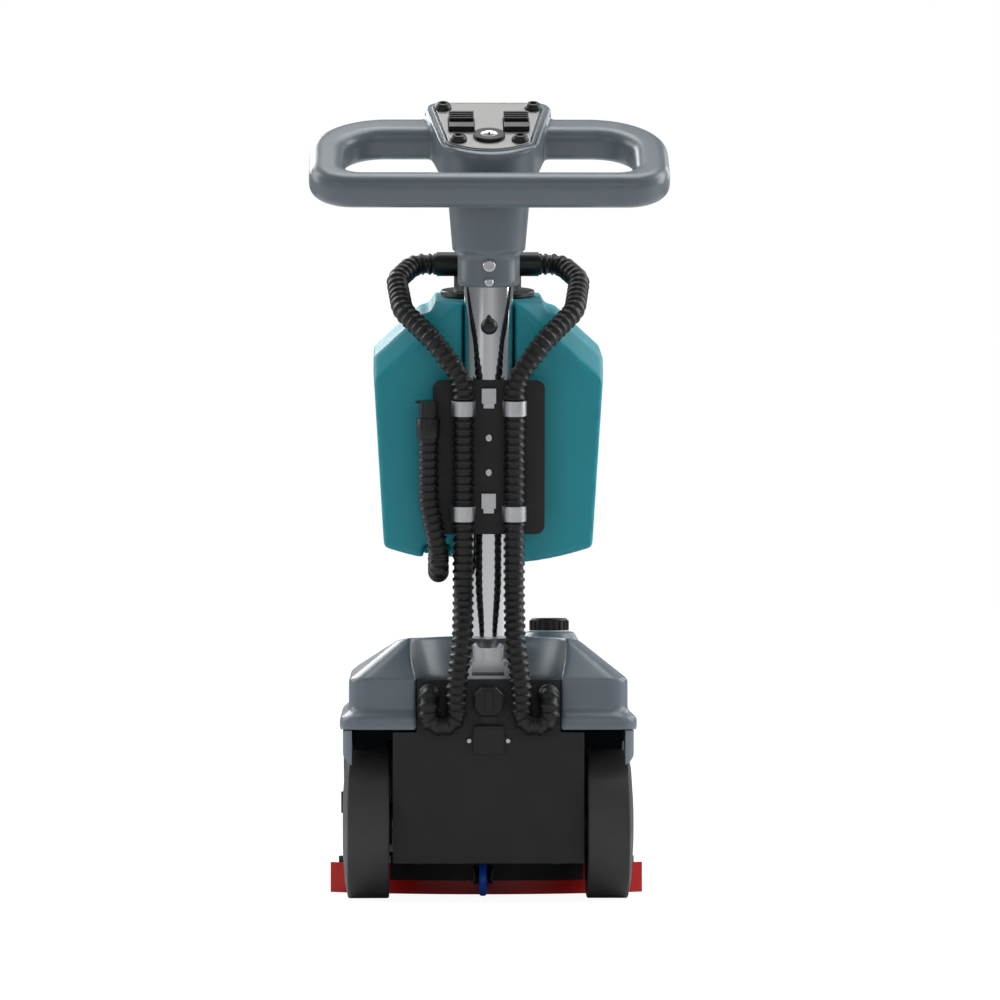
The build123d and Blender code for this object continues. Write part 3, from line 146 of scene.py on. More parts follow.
def makeFloor():
    mesh = bpy.data.meshes.new("studioFloor")
    half = studio["floorHalf"]
    corners = [(-half, -half, 0), (half, -half, 0), (half, half, 0), (-half, half, 0)]
    mesh.from_pydata(corners, [], [(0, 1, 2, 3)])
    floor = bpy.data.objects.new("studioFloor", mesh)
    bpy.context.collection.objects.link(floor)
    material = bpy.data.materials.new("paleFloor")
    material.use_nodes = True
    tree = material.node_tree
    shader = tree.nodes["Principled BSDF"]
    out = tree.nodes["Material Output"]
    shader.inputs["Base Color"].default_value = (studio["floorTone"],) * 3 + (1,)
    shader.inputs["Roughness"].default_value = 0.7
    # to the camera the floor is the backdrop's white with a faint shadow near the machine
    path = tree.nodes.new("ShaderNodeLightPath")
    mix = tree.nodes.new("ShaderNodeMixShader")
    seen = tree.nodes.new("ShaderNodeAddShader")
    glow = tree.nodes.new("ShaderNodeEmission")
    matte = tree.nodes.new("ShaderNodeBsdfDiffuse")
    matte.inputs["Color"].default_value = (studio["shadowTone"],) * 3 + (1,)
    coordinate = tree.nodes.new("ShaderNodeTexCoord")
    distance = tree.nodes.new("ShaderNodeVectorMath")
    distance.operation = "LENGTH"
    fade = tree.nodes.new("ShaderNodeMapRange")
    fade.inputs["From Min"].default_value = studio["fadeFrom"]
    fade.inputs["From Max"].default_value = studio["fadeTo"]
    fade.inputs["To Min"].default_value = studio["glowNear"]
    fade.inputs["To Max"].default_value = studio["skyTone"]
    tree.links.new(coordinate.outputs["Object"], distance.inputs[0])
    tree.links.new(distance.outputs["Value"], fade.inputs["Value"])
    tree.links.new(fade.outputs["Result"], glow.inputs["Strength"])
    tree.links.new(glow.outputs[0], seen.inputs[0])
    tree.links.new(matte.outputs[0], seen.inputs[1])
    tree.links.new(path.outputs["Is Camera Ray"], mix.inputs["Fac"])
    tree.links.new(shader.outputs[0], mix.inputs[1])
    tree.links.new(seen.outputs[0], mix.inputs[2])
    tree.links.new(mix.outputs[0], out.inputs["Surface"])
    mesh.materials.append(material)


makeCamera()
makeStage()
makeFloor()
print("camera, lights and floor")


# materials
def linear(red, green, blue):
    # a screen colour, 0 to 255, as a linear one
    return tuple((channel / 255) ** 2.2 for channel in (red, green, blue)) + (1,)


def objectPoint(tree, scale=(1, 1, 1)):
    coordinate = tree.nodes.new("ShaderNodeTexCoord")
    mapping = tree.nodes.new("ShaderNodeMapping")
    mapping.inputs["Scale"].default_value = scale
    tree.links.new(coordinate.outputs["Object"], mapping.inputs["Vector"])
    return mapping.outputs["Vector"]


def noiseFrom(tree, point, scale, detail=3.0, roughness=0.5):
    noise = tree.nodes.new("ShaderNodeTexNoise")
    noise.inputs["Scale"].default_value = scale
    noise.inputs["Detail"].default_value = detail
    noise.inputs["Roughness"].default_value = roughness
    tree.links.new(point, noise.inputs["Vector"])
    return noise.outputs["Fac"]


def spread(tree, value, low, high, fromLow=0.3, fromHigh=0.7):
    ranger = tree.nodes.new("ShaderNodeMapRange")
    ranger.inputs["From Min"].default_value = fromLow
    ranger.inputs["From Max"].default_value = fromHigh
    ranger.inputs["To Min"].default_value = low
    ranger.inputs["To Max"].default_value = high
    tree.links.new(value, ranger.inputs["Value"])
    return ranger.outputs["Result"]


def blendColour(tree, factor, first, second):
    mix = tree.nodes.new("ShaderNodeMix")
    mix.data_type = "RGBA"
    mix.inputs["A"].default_value = first
    mix.inputs["B"].default_value = second
    tree.links.new(factor, mix.inputs["Factor"])
    return mix.outputs["Result"]


def bumpFrom(tree, height, strength, distance, before=None):
    bump = tree.nodes.new("ShaderNodeBump")
    bump.inputs["Strength"].default_value = strength
    bump.inputs["Distance"].default_value = distance
    tree.links.new(height, bump.inputs["Height"])
    if before is not None:
        tree.links.new(before, bump.inputs["Normal"])
    return bump.outputs["Normal"]


def newMaterial(name):
    material = bpy.data.materials.new(name)
    material.use_nodes = True
    tree = material.node_tree
    return material, tree, tree.nodes["Principled BSDF"]


def grainedFinish(name, look):
    # moulded or painted surface: broad tone drift, fine grain in the bump, uneven gloss
    material, tree, shader = newMaterial(name)
    point = objectPoint(tree, look.get("stretch", (1, 1, 1)))
    drift = spread(tree, noiseFrom(tree, point, look.get("driftScale", 7), 3), 0, 1)
    base = look["colour"]
    darker = tuple(channel * (1 - look.get("drift", 0.08)) for channel in base[:3]) + (1,)
    tree.links.new(blendColour(tree, drift, darker, base), shader.inputs["Base Color"])
    grain = noiseFrom(tree, point, look.get("grainScale", 900), 2, 0.6)
    rough = look["roughness"]
    smear = noiseFrom(tree, point, look.get("smearScale", 22), 4, 0.6)
    swing = look.get("glossSwing", 0.05)
    tree.links.new(spread(tree, smear, rough - swing, rough + swing), shader.inputs["Roughness"])
    wave = bumpFrom(tree, noiseFrom(tree, point, look.get("waveScale", 16), 2),
                    look.get("wave", 0.05), 0.002)
    bump = bumpFrom(tree, grain, look.get("grain", 0.12), 0.0003, wave)
    tree.links.new(bump, shader.inputs["Normal"])
    shader.inputs["Metallic"].default_value = look.get("metal", 0.0)
    shader.inputs["IOR"].default_value = look.get("ior", 1.47)
    shader.inputs["Coat Weight"].default_value = look.get("coat", 0.0)
    shader.inputs["Coat Roughness"].default_value = look.get("coatRoughness", 0.25)
    shader.inputs["Subsurface Weight"].default_value = 0.0
    return material


def brushedFinish(name, look):
    # metal with fine lines along one direction
    material, tree, shader = newMaterial(name)
    point = objectPoint(tree, look["stretch"])
    line = noiseFrom(tree, point, look.get("lineScale", 400), 4, 0.7)
    base = look["colour"]
    darker = tuple(channel * 0.86 for channel in base[:3]) + (1,)
    tree.links.new(blendColour(tree, spread(tree, line, 0, 1), darker, base), shader.inputs["Base Color"])
    rough = look["roughness"]
    tree.links.new(spread(tree, line, rough - 0.05, rough + 0.07), shader.inputs["Roughness"])
    tree.links.new(bumpFrom(tree, line, look.get("depth", 0.15), 0.0002), shader.inputs["Normal"])
    shader.inputs["Metallic"].default_value = look.get("metal", 1.0)
    shader.inputs["Anisotropic"].default_value = look.get("anisotropy", 0.0)
    return material


finishes = {
    "greyShell": {"colour": linear(112, 122, 131), "roughness": 0.34, "grain": 0.14, "wave": 0.08,
                  "coat": 0.15},
    "greyHandle": {"colour": linear(106, 115, 122), "roughness": 0.33, "grain": 0.12, "wave": 0.04,
                   "coat": 0.2},
    "tealTank": {"colour": linear(20, 150, 164), "roughness": 0.42, "grain": 0.14, "wave": 0.12,
                 "coat": 0.12},
    "blackPlastic": {"colour": linear(26, 26, 27), "roughness": 0.46, "grain": 0.25, "drift": 0.15},
    "capPlastic": {"colour": linear(27, 27, 28), "roughness": 0.38, "grain": 0.15, "drift": 0.12},
    "blackPanel": {"colour": linear(30, 30, 31), "roughness": 0.55, "grain": 0.35, "drift": 0.12,
                   "grainScale": 1400},
    "hosePlastic": {"colour": linear(24, 24, 25), "roughness": 0.42, "grain": 0.2, "drift": 0.15},
    "tyreRubber": {"colour": linear(60, 60, 61), "roughness": 0.52, "grain": 0.3, "drift": 0.2,
                   "grainScale": 700, "driftScale": 14},
    "hubPlastic": {"colour": linear(40, 40, 41), "roughness": 0.5, "grain": 0.25},
    "bumperRubber": {"colour": linear(36, 36, 37), "roughness": 0.65, "grain": 0.3},
    "bristleNylon": {"colour": linear(32, 62, 120), "roughness": 0.4, "drift": 0.3},
    "redRubber": {"colour": linear(205, 26, 26), "roughness": 0.34, "grain": 0.08, "drift": 0.14,
                  "driftScale": 20},
    "blueWheel": {"colour": linear(22, 96, 226), "roughness": 0.34, "grain": 0.1},
    "whitePlastic": {"colour": linear(226, 228, 228), "roughness": 0.4},
    "boardGreen": {"colour": linear(20, 92, 52), "roughness": 0.35, "driftScale": 60, "drift": 0.3},
    "batteryCase": {"colour": linear(60, 64, 70), "roughness": 0.45},
    "frameSteel": {"colour": linear(42, 42, 44), "roughness": 0.48, "grain": 0.4, "grainScale": 500},
    "motorSteel": {"colour": linear(120, 122, 126), "roughness": 0.38, "metal": 0.7},
    "castMetal": {"colour": linear(200, 202, 205), "roughness": 0.36, "metal": 1.0, "grain": 0.1,
                  "wave": 0.15, "waveScale": 40},
    "mastChrome": {"colour": linear(214, 216, 219), "roughness": 0.07, "metal": 1.0, "grain": 0.0,
                   "wave": 0.0, "glossSwing": 0.02, "drift": 0.02},
    "platedSteel": {"colour": linear(205, 205, 207), "roughness": 0.34, "metal": 1.0, "grain": 0.05},
    "bushBrass": {"colour": linear(196, 160, 84), "roughness": 0.28, "metal": 1.0},
}
brushed = {
    "clipSteel": {"colour": linear(205, 205, 208), "roughness": 0.36, "stretch": (0.05, 1, 1)},
    "consoleMetal": {"colour": linear(150, 149, 148), "roughness": 0.42, "stretch": (0.03, 1, 1),
                     "metal": 0.85, "depth": 0.25},
}
material = {name: grainedFinish(name, look) for name, look in finishes.items()}
material.update({name: brushedFinish(name, look) for name, look in brushed.items()})

slotFinish = {
    "frame_steel": "frameSteel", "black_panel": "blackPanel", "grey_shell": "greyShell",
    "grey_handle": "greyHandle", "black_rubber": "bumperRubber", "black_plastic": "blackPlastic",
    "battery_case": "batteryCase", "motor_steel": "motorSteel", "cast_aluminium": "castMetal",
    "plated_steel": "platedSteel", "bush_brass": "bushBrass", "white_plastic": "whitePlastic",
    "hose_plastic": "hosePlastic", "cap_plastic": "capPlastic", "tyre_rubber": "tyreRubber",
    "hub_plastic": "hubPlastic", "bristle_nylon": "bristleNylon", "red_rubber": "redRubber",
    "blue_plastic": "blueWheel", "mast_chrome": "mastChrome", "clip_steel": "clipSteel",
    "teal_tank": "tealTank", "console_metal": "consoleMetal", "board_green": "boardGreen",
}


def dressFrame():
    for name, node in nodes.items():
        finish = material[slotFinish[nodeSlot[name]]]
        node.data.materials.clear()
        node.data.materials.append(finish)


dressFrame()
print("materials on", len(nodes), "frame nodes")


# mesh helpers
def link(name, mesh):
    piece = bpy.data.objects.new(name, mesh)
    bpy.context.collection.objects.link(piece)
    return piece


def shade(mesh, finish, angle=40):
    mesh.materials.clear()
    mesh.materials.append(finish)
    mesh.shade_smooth()
    mesh.set_sharp_from_angle(angle=math.radians(angle))


def evaluated(piece):
    # the modifiers' result as a plain mesh on the same object, modifiers gone
    bpy.context.view_layer.update()
    graph = bpy.context.evaluated_depsgraph_get()
    mesh = bpy.data.meshes.new_from_object(piece.evaluated_get(graph), depsgraph=graph)
    mesh.name = piece.name
    piece.modifiers.clear()
    piece.data = mesh
    return piece


def copyOf(node, name):
    # the CAD node's surface with its loose corners merged, on an object of its own
    form = bmesh.new()
    form.from_mesh(nodes[node].data)
    bmesh.ops.transform(form, matrix=nodes[node].matrix_world, verts=form.verts)
    bmesh.ops.remove_doubles(form, verts=form.verts, dist=0.00002)
    bmesh.ops.recalc_face_normals(form, faces=form.faces)
    mesh = bpy.data.meshes.new(name)
    form.to_mesh(mesh)
    form.free()
    return link(name, mesh)


def insideBox(piece, node):
    # the softened surface never leaves the node's own box
    low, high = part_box(node)
    for vertex in piece.data.vertices:
        vertex.co = [min(max(value, a), b) for value, a, b in zip(vertex.co, low, high)]


def pieceFor(piece, *replaced):
    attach(piece, bodyOf[replaced[0]])
    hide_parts(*replaced)
    return piece


def geometryTree(name, sockets):
    # an empty tree with a mesh in, a mesh out and named inputs
    tree = bpy.data.node_groups.new(name, "GeometryNodeTree")
    face = tree.interface
    face.new_socket("Geometry", in_out="INPUT", socket_type="NodeSocketGeometry")
    for label, kind in sockets.items():
        face.new_socket(label, in_out="INPUT", socket_type=kind)
    face.new_socket("Geometry", in_out="OUTPUT", socket_type="NodeSocketGeometry")
    return tree, tree.nodes.new("NodeGroupInput"), tree.nodes.new("NodeGroupOutput")


def runTree(piece, tree, values):
    modifier = piece.modifiers.new("details", "NODES")
    modifier.node_group = tree
    for item in tree.interface.items_tree:
        if item.in_out == "INPUT" and item.name in values:
            modifier[item.identifier] = values[item.name]
    return evaluated(piece)


def finishTree(tree, geometry, entry, out):
    # ends every tree: instances made real, one material
    real = tree.nodes.new("GeometryNodeRealizeInstances")
    paint = tree.nodes.new("GeometryNodeSetMaterial")
    tree.links.new(geometry, real.inputs["Geometry"])
    tree.links.new(real.outputs["Geometry"], paint.inputs["Geometry"])
    tree.links.new(entry.outputs["Material"], paint.inputs["Material"])
    tree.links.new(paint.outputs["Geometry"], out.inputs["Geometry"])


def mathNode(tree, operation, first, second=None):
    node = tree.nodes.new("ShaderNodeMath")
    node.operation = operation
    for socket, value in zip(node.inputs, (first, second)):
        if value is None:
            continue
        if isinstance(value, (int, float)):
            socket.default_value = value
        else:
            tree.links.new(value, socket)
    return node.outputs[0]


# soft moulded shells
def sphereRays(count, goldenAngle=2.39996):
    # directions spread evenly over a ball
    rays = []
    for step in range(count):
        level = 1 - 2 * (step + 0.5) / count
        wide = math.sqrt(1 - level**2)
        turn = goldenAngle * step
        rays.append(Vector((math.cos(turn) * wide, math.sin(turn) * wide, level)))
    return rays


def visibleSkin(piece, lowest):
    # keeps only the faces that see open air in some direction no steeper down than lowest
    form = bmesh.new()
    form.from_mesh(piece.data)
    tree = BVHTree.FromBMesh(form)
    rays = [ray for ray in sphereRays(240) if ray.z > lowest]
    hidden = []
    for face in form.faces:
        start = face.calc_center_median() + face.normal * 0.0002
        facing = [ray for ray in rays if ray.dot(face.normal) > 0.05]
        if not any(tree.ray_cast(start, ray)[0] is None for ray in facing):
            hidden.append(face)
    bmesh.ops.delete(form, geom=hidden, context="FACES")
    closeHoles(form)
    form.to_mesh(piece.data)
    form.free()


def closeHoles(form):
    edges = [edge for edge in form.edges if edge.is_boundary]
    filled = bmesh.ops.holes_fill(form, edges=edges, sides=0)["faces"]
    bmesh.ops.triangulate(form, faces=filled)


def looseParts(form):
    # the form's corners in lists, one for each part that stands apart
    seen = set()
    parts = []
    for first in form.verts:
        if first in seen:
            continue
        seen.add(first)
        stack = [first]
        part = []
        while stack:
            vertex = stack.pop()
            part.append(vertex)
            fresh = [edge.other_vert(vertex) for edge in vertex.link_edges]
            fresh = [other for other in fresh if other not in seen]
            seen.update(fresh)
            stack += fresh
        parts.append(part)
    return parts


def outerSkin(piece, bores):
    # cuts away the walls of the bores, drops the cavity behind them and closes the mouths
    form = bmesh.new()
    form.from_mesh(piece.data)
    walls = []
    for face in form.faces:
        centre = face.calc_center_median() - hingePoint
        level = centre.dot(mastUp)
        upright = abs(face.normal.dot(mastUp)) < 0.3
        for (x, back, low, high), radius in bores:
            aside = math.hypot(centre.x - x, centre.dot(-mastBack) - back)
            if upright and low < level < high and radius * 0.9 < aside < radius * 1.03:
                walls.append(face)
                break
    bmesh.ops.delete(form, geom=walls, context="FACES")
    islands = looseParts(form)
    islands.sort(key=lambda island: max(vertex.co.x for vertex in island))
    for island in islands[:-1]:
        bmesh.ops.delete(form, geom=island, context="VERTS")
    closeHoles(form)
    form.to_mesh(piece.data)
    form.free()
    print(piece.name, "bore walls", len(walls), "islands", len(islands))


def soften(piece, look):
    # an even skin over the form, its corners worn round as a rotomoulded part's are
    remesh = piece.modifiers.new("skin", "REMESH")
    remesh.mode = "VOXEL"
    remesh.voxel_size = look["grid"]
    smooth = piece.modifiers.new("worn", "SMOOTH")
    smooth.factor = 0.5
    smooth.iterations = look["passes"]
    return evaluated(piece)


# voxel size in metres, rounds of smoothing, and the steepest way down that counts as open air
softLook = {
    "recovery_tank": {"grid": 0.003, "passes": 14},
    "clean_tank": {"grid": 0.003, "passes": 5, "lowest": -0.25},
    "handle_loop": {"grid": 0.0024, "passes": 6},
}
coverLook = {"wall": 0.003, "mouthInset": 0.0026, "rim": 0.352, "floorSkin": 0.002}
# the tank's mouth and its drain: sideways, back and the levels along the mast, then the radius
tankBores = [((0.0, 0.098, 0.480, 0.496), 0.052), ((-0.067, 0.026, 0.160, 0.180), 0.010)]


def softShell(node, name):
    look = softLook[node]
    piece = copyOf(node, name)
    if node == "recovery_tank":
        outerSkin(piece, tankBores)
    if node == "clean_tank":
        visibleSkin(piece, look["lowest"])
    soften(piece, look)
    insideBox(piece, node)
    return piece


def openFiller(piece):
    # the cover's floor and the filler's mouth are opened again and the skin gets its wall
    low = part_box("clean_tank")[0].z
    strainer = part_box("filler_strainer")
    middle = (strainer[0] + strainer[1]) / 2
    mouth = (strainer[1].x - strainer[0].x) / 2 - coverLook["mouthInset"]
    form = bmesh.new()
    form.from_mesh(piece.data)
    gone = []
    for face in form.faces:
        centre = face.calc_center_median()
        aside = math.hypot(centre.x - middle.x, centre.y - middle.y)
        underneath = centre.z < low + coverLook["floorSkin"] and face.normal.z < -0.8
        inMouth = aside < mouth and centre.z > coverLook["rim"] and face.normal.z > 0.5
        if underneath or inMouth:
            gone.append(face)
    bmesh.ops.delete(form, geom=gone, context="FACES")
    form.to_mesh(piece.data)
    form.free()
    wall = piece.modifiers.new("wall", "SOLIDIFY")
    wall.thickness = coverLook["wall"]
    wall.offset = -1
    return evaluated(piece)


def makeShells():
    tank = softShell("recovery_tank", "mouldedTank")
    shade(tank.data, material["tealTank"], 70)
    pieceFor(tank, "recovery_tank")
    cover = openFiller(softShell("clean_tank", "mouldedCover"))
    insideBox(cover, "clean_tank")
    shade(cover.data, material["greyShell"], 70)
    pieceFor(cover, "clean_tank")
    handle = softShell("handle_loop", "mouldedHandle")
    shade(handle.data, material["greyHandle"], 70)
    pieceFor(handle, "handle_loop")
    for piece in (tank, cover, handle):
        print(piece.name, len(piece.data.polygons), "faces")


makeShells()
print("soft moulded shells")


# corrugated hoses
hoseLook = {
    "radius": 0.0145, "drainRadius": 0.014, "pitch": 0.0106, "depth": 0.0021,
    "sides": 28, "step": 0.0013,  # corners round a ring, and metres from ring to ring
    "cuff": 0.016, "drainCuffs": (0.004, 0.006),
    "behind": -0.2405,  # where the loops hang behind the base
}
# millimetres from the hinge: sideways, forward and up the mast, with the radius of each bend
upperRoute = [(57, 98, 537), (99, 98, 537), (123, 54, 519), (115, -5, 483), (71, -52, 445),
              (34, -51, 392), (34, -51, 100)]
upperBends = [24, 32, 46, 60, 60]
lowerRoute = [(35, -238.5, 345), (44.2, -240.5, 281), (44.2, -240.5, 236.5), (80, -240.5, 236.5),
              (80, -240.5, 277), (80, -206.7, 277)]  # millimetres in the frame's own axes
lowerBends = [120, 120, 50, 17.4, 17.4, 16]
drainRoute = [(-81, -52, 318), (-81, -52, 231), (-67, -52, 166), (-67, -52, 134), (-67, 26, 134),
              (-67, 26, 168)]
drainBends = [150, 120, 26, 26]
cuffProfile = [(0.0, 0.318), (0.0149, 0.318), (0.0155, 0.3196), (0.0155, 0.3424), (0.0149, 0.344),
               (0.0, 0.344)]  # radius and level


def onMast(x, back, level):
    forward = -mastBack
    return hingePoint + Vector((x, 0, 0)) + forward * back + mastUp * level


def rounded(points, radii, step):
    # the path through the points with its corners turned at the radii, sampled evenly
    path = [points[0]]
    for before, corner, after, radius in zip(points, points[1:], points[2:], radii):
        inward = (before - corner).normalized()
        outward = (after - corner).normalized()
        half = inward.angle(outward) / 2
        reach = radius / math.tan(half)
        centre = corner + (inward + outward).normalized() * (radius / math.sin(half))
        start = corner + inward * reach - centre
        end = corner + outward * reach - centre
        count = max(4, round(start.angle(end) / math.radians(3)))
        path += [centre + start.slerp(end, index / count) * radius for index in range(count + 1)]
    path.append(points[-1])
    lengths = [0.0]
    for first, second in zip(path, path[1:]):
        lengths.append(lengths[-1] + (second - first).length)
    total = lengths[-1]
    count = round(total / step)
    places = []
    index = 0
    for number in range(count + 1):
        along = total * number / count
        while index < len(lengths) - 2 and lengths[index + 1] < along:
            index += 1
        span = max(lengths[index + 1] - lengths[index], 1e-9)
        share = (along - lengths[index]) / span
        places.append((path[index].lerp(path[index + 1], share), along))
    return places, total




def tubeRings(places, radius, sides):
    # rings carried along the path without twist
    points = [place for place, along in places]
    tangents = [(b - a).normalized() for a, b in zip(points, points[1:])]
    tangents.append(tangents[-1])
    side = tangents[0].orthogonal().normalized()
    corners = []
    for point, tangent in zip(points, tangents):
        side = (side - tangent * side.dot(tangent)).normalized()
        other = tangent.cross(side)
        for number in range(sides):
            turn = 2 * math.pi * number / sides
            corners.append(point + (side * math.cos(turn) + other * math.sin(turn)) * radius)
    faces = []
    for ring in range(len(points) - 1):
        for number in range(sides):
            near = ring * sides
            following = (number + 1) % sides
            faces.append((near + number, near + following, near + sides + following,
                          near + sides + number))
    return corners, faces


def corrugationTree():
    # pushes each point in by a wave of its distance along the hose, none at the cuffs
    tree, entry, out = geometryTree("corrugation", {
        "Pitch": "NodeSocketFloat", "Depth": "NodeSocketFloat", "Material": "NodeSocketMaterial"})
    along = tree.nodes.new("GeometryNodeInputNamedAttribute")
    along.data_type = "FLOAT"
    along.inputs["Name"].default_value = "along"
    ribbed = tree.nodes.new("GeometryNodeInputNamedAttribute")
    ribbed.data_type = "FLOAT"
    ribbed.inputs["Name"].default_value = "ribbed"
    turn = mathNode(tree, "DIVIDE", along.outputs["Attribute"], entry.outputs["Pitch"])
    wave = mathNode(tree, "COSINE", mathNode(tree, "MULTIPLY", turn, 2 * math.pi))
    square = mathNode(tree, "MULTIPLY", mathNode(tree, "ADD", wave, -0.25), 2.6)
    limited = mathNode(tree, "MINIMUM", mathNode(tree, "MAXIMUM", square, -1.0), 1.0)
    hollow = mathNode(tree, "MULTIPLY", mathNode(tree, "SUBTRACT", limited, 1.0), 0.5)
    shaped = mathNode(tree, "MULTIPLY", hollow, ribbed.outputs["Attribute"])
    depth = mathNode(tree, "MULTIPLY", shaped, entry.outputs["Depth"])
    normal = tree.nodes.new("GeometryNodeInputNormal")
    scale = tree.nodes.new("ShaderNodeVectorMath")
    scale.operation = "SCALE"
    tree.links.new(normal.outputs[0], scale.inputs[0])
    tree.links.new(depth, scale.inputs["Scale"])
    move = tree.nodes.new("GeometryNodeSetPosition")
    tree.links.new(entry.outputs["Geometry"], move.inputs["Geometry"])
    tree.links.new(scale.outputs[0], move.inputs["Offset"])
    finishTree(tree, move.outputs["Geometry"], entry, out)
    return tree


def hoseMesh(name, routes, radius, cuffs):
    corners, faces, along, ribbed = [], [], [], []
    for points, radii in routes:
        places, total = rounded(points, radii, hoseLook["step"])
        ringCorners, ringFaces = tubeRings(places, radius, hoseLook["sides"])
        offset = len(corners)
        corners += ringCorners
        faces += [tuple(index + offset for index in face) for face in ringFaces]
        for place, distance in places:
            smooth = distance < cuffs[0] or total - distance < cuffs[1]
            along += [distance] * hoseLook["sides"]
            ribbed += [0.0 if smooth else 1.0] * hoseLook["sides"]
    mesh = bpy.data.meshes.new(name)
    mesh.from_pydata(corners, [], faces)
    for label, values in (("along", along), ("ribbed", ribbed)):
        mesh.attributes.new(label, "FLOAT", "POINT").data.foreach_set("value", values)
    form = bmesh.new()
    form.from_mesh(mesh)
    bmesh.ops.holes_fill(form, edges=[edge for edge in form.edges if edge.is_boundary], sides=0)
    bmesh.ops.recalc_face_normals(form, faces=form.faces)
    form.to_mesh(mesh)
    form.free()
    return link(name, mesh)


def mirroredRoute(points, radii):
    return [Vector((-point.x, point.y, point.z)) for point in points], radii


def scaled(values):
    return [value * millimetre for value in values]


def makeHoses():
    tree = corrugationTree()
    values = {"Pitch": hoseLook["pitch"], "Depth": hoseLook["depth"],
              "Material": material["hosePlastic"]}
    points = [onMast(*scaled(place)) for place in upperRoute]
    points += [Vector(scaled(place)) for place in lowerRoute]
    route = points, scaled(upperBends + lowerBends)
    pair = hoseMesh("suctionHosePair", [route, mirroredRoute(*route)], hoseLook["radius"],
                    (hoseLook["cuff"], hoseLook["cuff"]))
    runTree(pair, tree, values)
    shade(pair.data, material["hosePlastic"], 60)
    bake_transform(pair)
    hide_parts("suction_hoses", "lower_hoses")
    drain = [onMast(*scaled(place)) for place in drainRoute], scaled(drainBends)
    hose = hoseMesh("drainHose", [drain], hoseLook["drainRadius"], hoseLook["drainCuffs"])
    runTree(hose, tree, values)
    place = Matrix.Translation(onMast(-0.081, -0.052, 0)) @ mastTurn()
    joinMesh(hose, ringSolid(cuffProfile, 48), place)
    shade(hose.data, material["hosePlastic"], 60)
    pieceFor(hose, "drain_hose")
    print("hoses", len(pair.data.polygons), len(hose.data.polygons), "faces")


def mastTurn():
    return Matrix((Vector((1, 0, 0)), -mastBack, mastUp)).transposed().to_4x4()


def ringSolid(profile, sides):
    # (radius, height) pairs turned about Z, in metres
    corners, faces = [], []
    for radius, height in profile:
        for number in range(sides):
            turn = 2 * math.pi * number / sides
            corners.append((math.cos(turn) * radius, math.sin(turn) * radius, height))
    for ring in range(len(profile) - 1):
        for number in range(sides):
            following = (number + 1) % sides
            near = ring * sides
            faces.append((near + number, near + following, near + sides + following,
                          near + sides + number))
    mesh = bpy.data.meshes.new("turned")
    mesh.from_pydata(corners, [], faces)
    form = bmesh.new()
    form.from_mesh(mesh)
    bmesh.ops.remove_doubles(form, verts=form.verts, dist=1e-6)
    bmesh.ops.recalc_face_normals(form, faces=form.faces)
    form.to_mesh(mesh)
    form.free()
    return mesh


def joinMesh(piece, mesh, place):
    form = bmesh.new()
    form.from_mesh(piece.data)
    extra = mesh.copy()
    extra.transform(place)
    form.from_mesh(extra)
    form.to_mesh(piece.data)
    form.free()


makeHoses()
print("corrugated hoses")


# brush bristles
brushLook = {"spacing": 0.0125, "tuftRadius": 0.0032, "tuftLength": 0.032, "innerRadius": 0.062,
             "outerRadius": 0.1615, "rowShare": 0.86, "sides": 7, "rootShare": 0.6, "seed": 4}


def tuftTree():
    # a tuft on every point, each turned by the seed
    tree, entry, out = geometryTree("tufts", {
        "Tuft Radius": "NodeSocketFloat", "Tuft Length": "NodeSocketFloat",
        "Seed": "NodeSocketInt", "Material": "NodeSocketMaterial"})
    cone = tree.nodes.new("GeometryNodeMeshCone")
    cone.inputs["Vertices"].default_value = brushLook["sides"]
    root = mathNode(tree, "MULTIPLY", entry.outputs["Tuft Radius"], brushLook["rootShare"])
    tree.links.new(root, cone.inputs["Radius Bottom"])
    tree.links.new(entry.outputs["Tuft Radius"], cone.inputs["Radius Top"])
    tree.links.new(entry.outputs["Tuft Length"], cone.inputs["Depth"])
    lean = tree.nodes.new("FunctionNodeRandomValue")
    lean.data_type = "FLOAT"
    lean.inputs[2].default_value = 0.0
    lean.inputs[3].default_value = 2 * math.pi
    tree.links.new(entry.outputs["Seed"], lean.inputs["Seed"])
    turn = tree.nodes.new("ShaderNodeCombineXYZ")
    tree.links.new(lean.outputs[1], turn.inputs["Z"])
    place = tree.nodes.new("GeometryNodeInstanceOnPoints")
    tree.links.new(entry.outputs["Geometry"], place.inputs["Points"])
    tree.links.new(cone.outputs["Mesh"], place.inputs["Instance"])
    tree.links.new(turn.outputs[0], place.inputs["Rotation"])
    finishTree(tree, place.outputs["Instances"], entry, out)
    return tree


def makeBristles():
    low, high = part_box("brush_bristles")
    middle = (low + high) / 2
    points = []
    radius = brushLook["innerRadius"] + brushLook["tuftRadius"]
    while radius <= brushLook["outerRadius"]:
        count = max(6, round(2 * math.pi * radius / brushLook["spacing"]))
        for number in range(count):
            turn = 2 * math.pi * (number + 0.5 * (len(points) % 2)) / count
            points.append((middle.x + math.cos(turn) * radius, middle.y + math.sin(turn) * radius,
                           low.z))
        radius += brushLook["spacing"] * brushLook["rowShare"]
    mesh = bpy.data.meshes.new("bristles")
    mesh.from_pydata(points, [], [])
    piece = runTree(link("bristles", mesh), tuftTree(), {
        "Tuft Radius": brushLook["tuftRadius"], "Tuft Length": high.z - low.z,
        "Seed": brushLook["seed"], "Material": material["bristleNylon"]})
    insideBox(piece, "brush_bristles")
    shade(piece.data, material["bristleNylon"], 50)
    pieceFor(piece, "brush_bristles")


makeBristles()
print("brush bristles")


# guide roller's fork
forkLook = {"axleRadius": 0.0045}


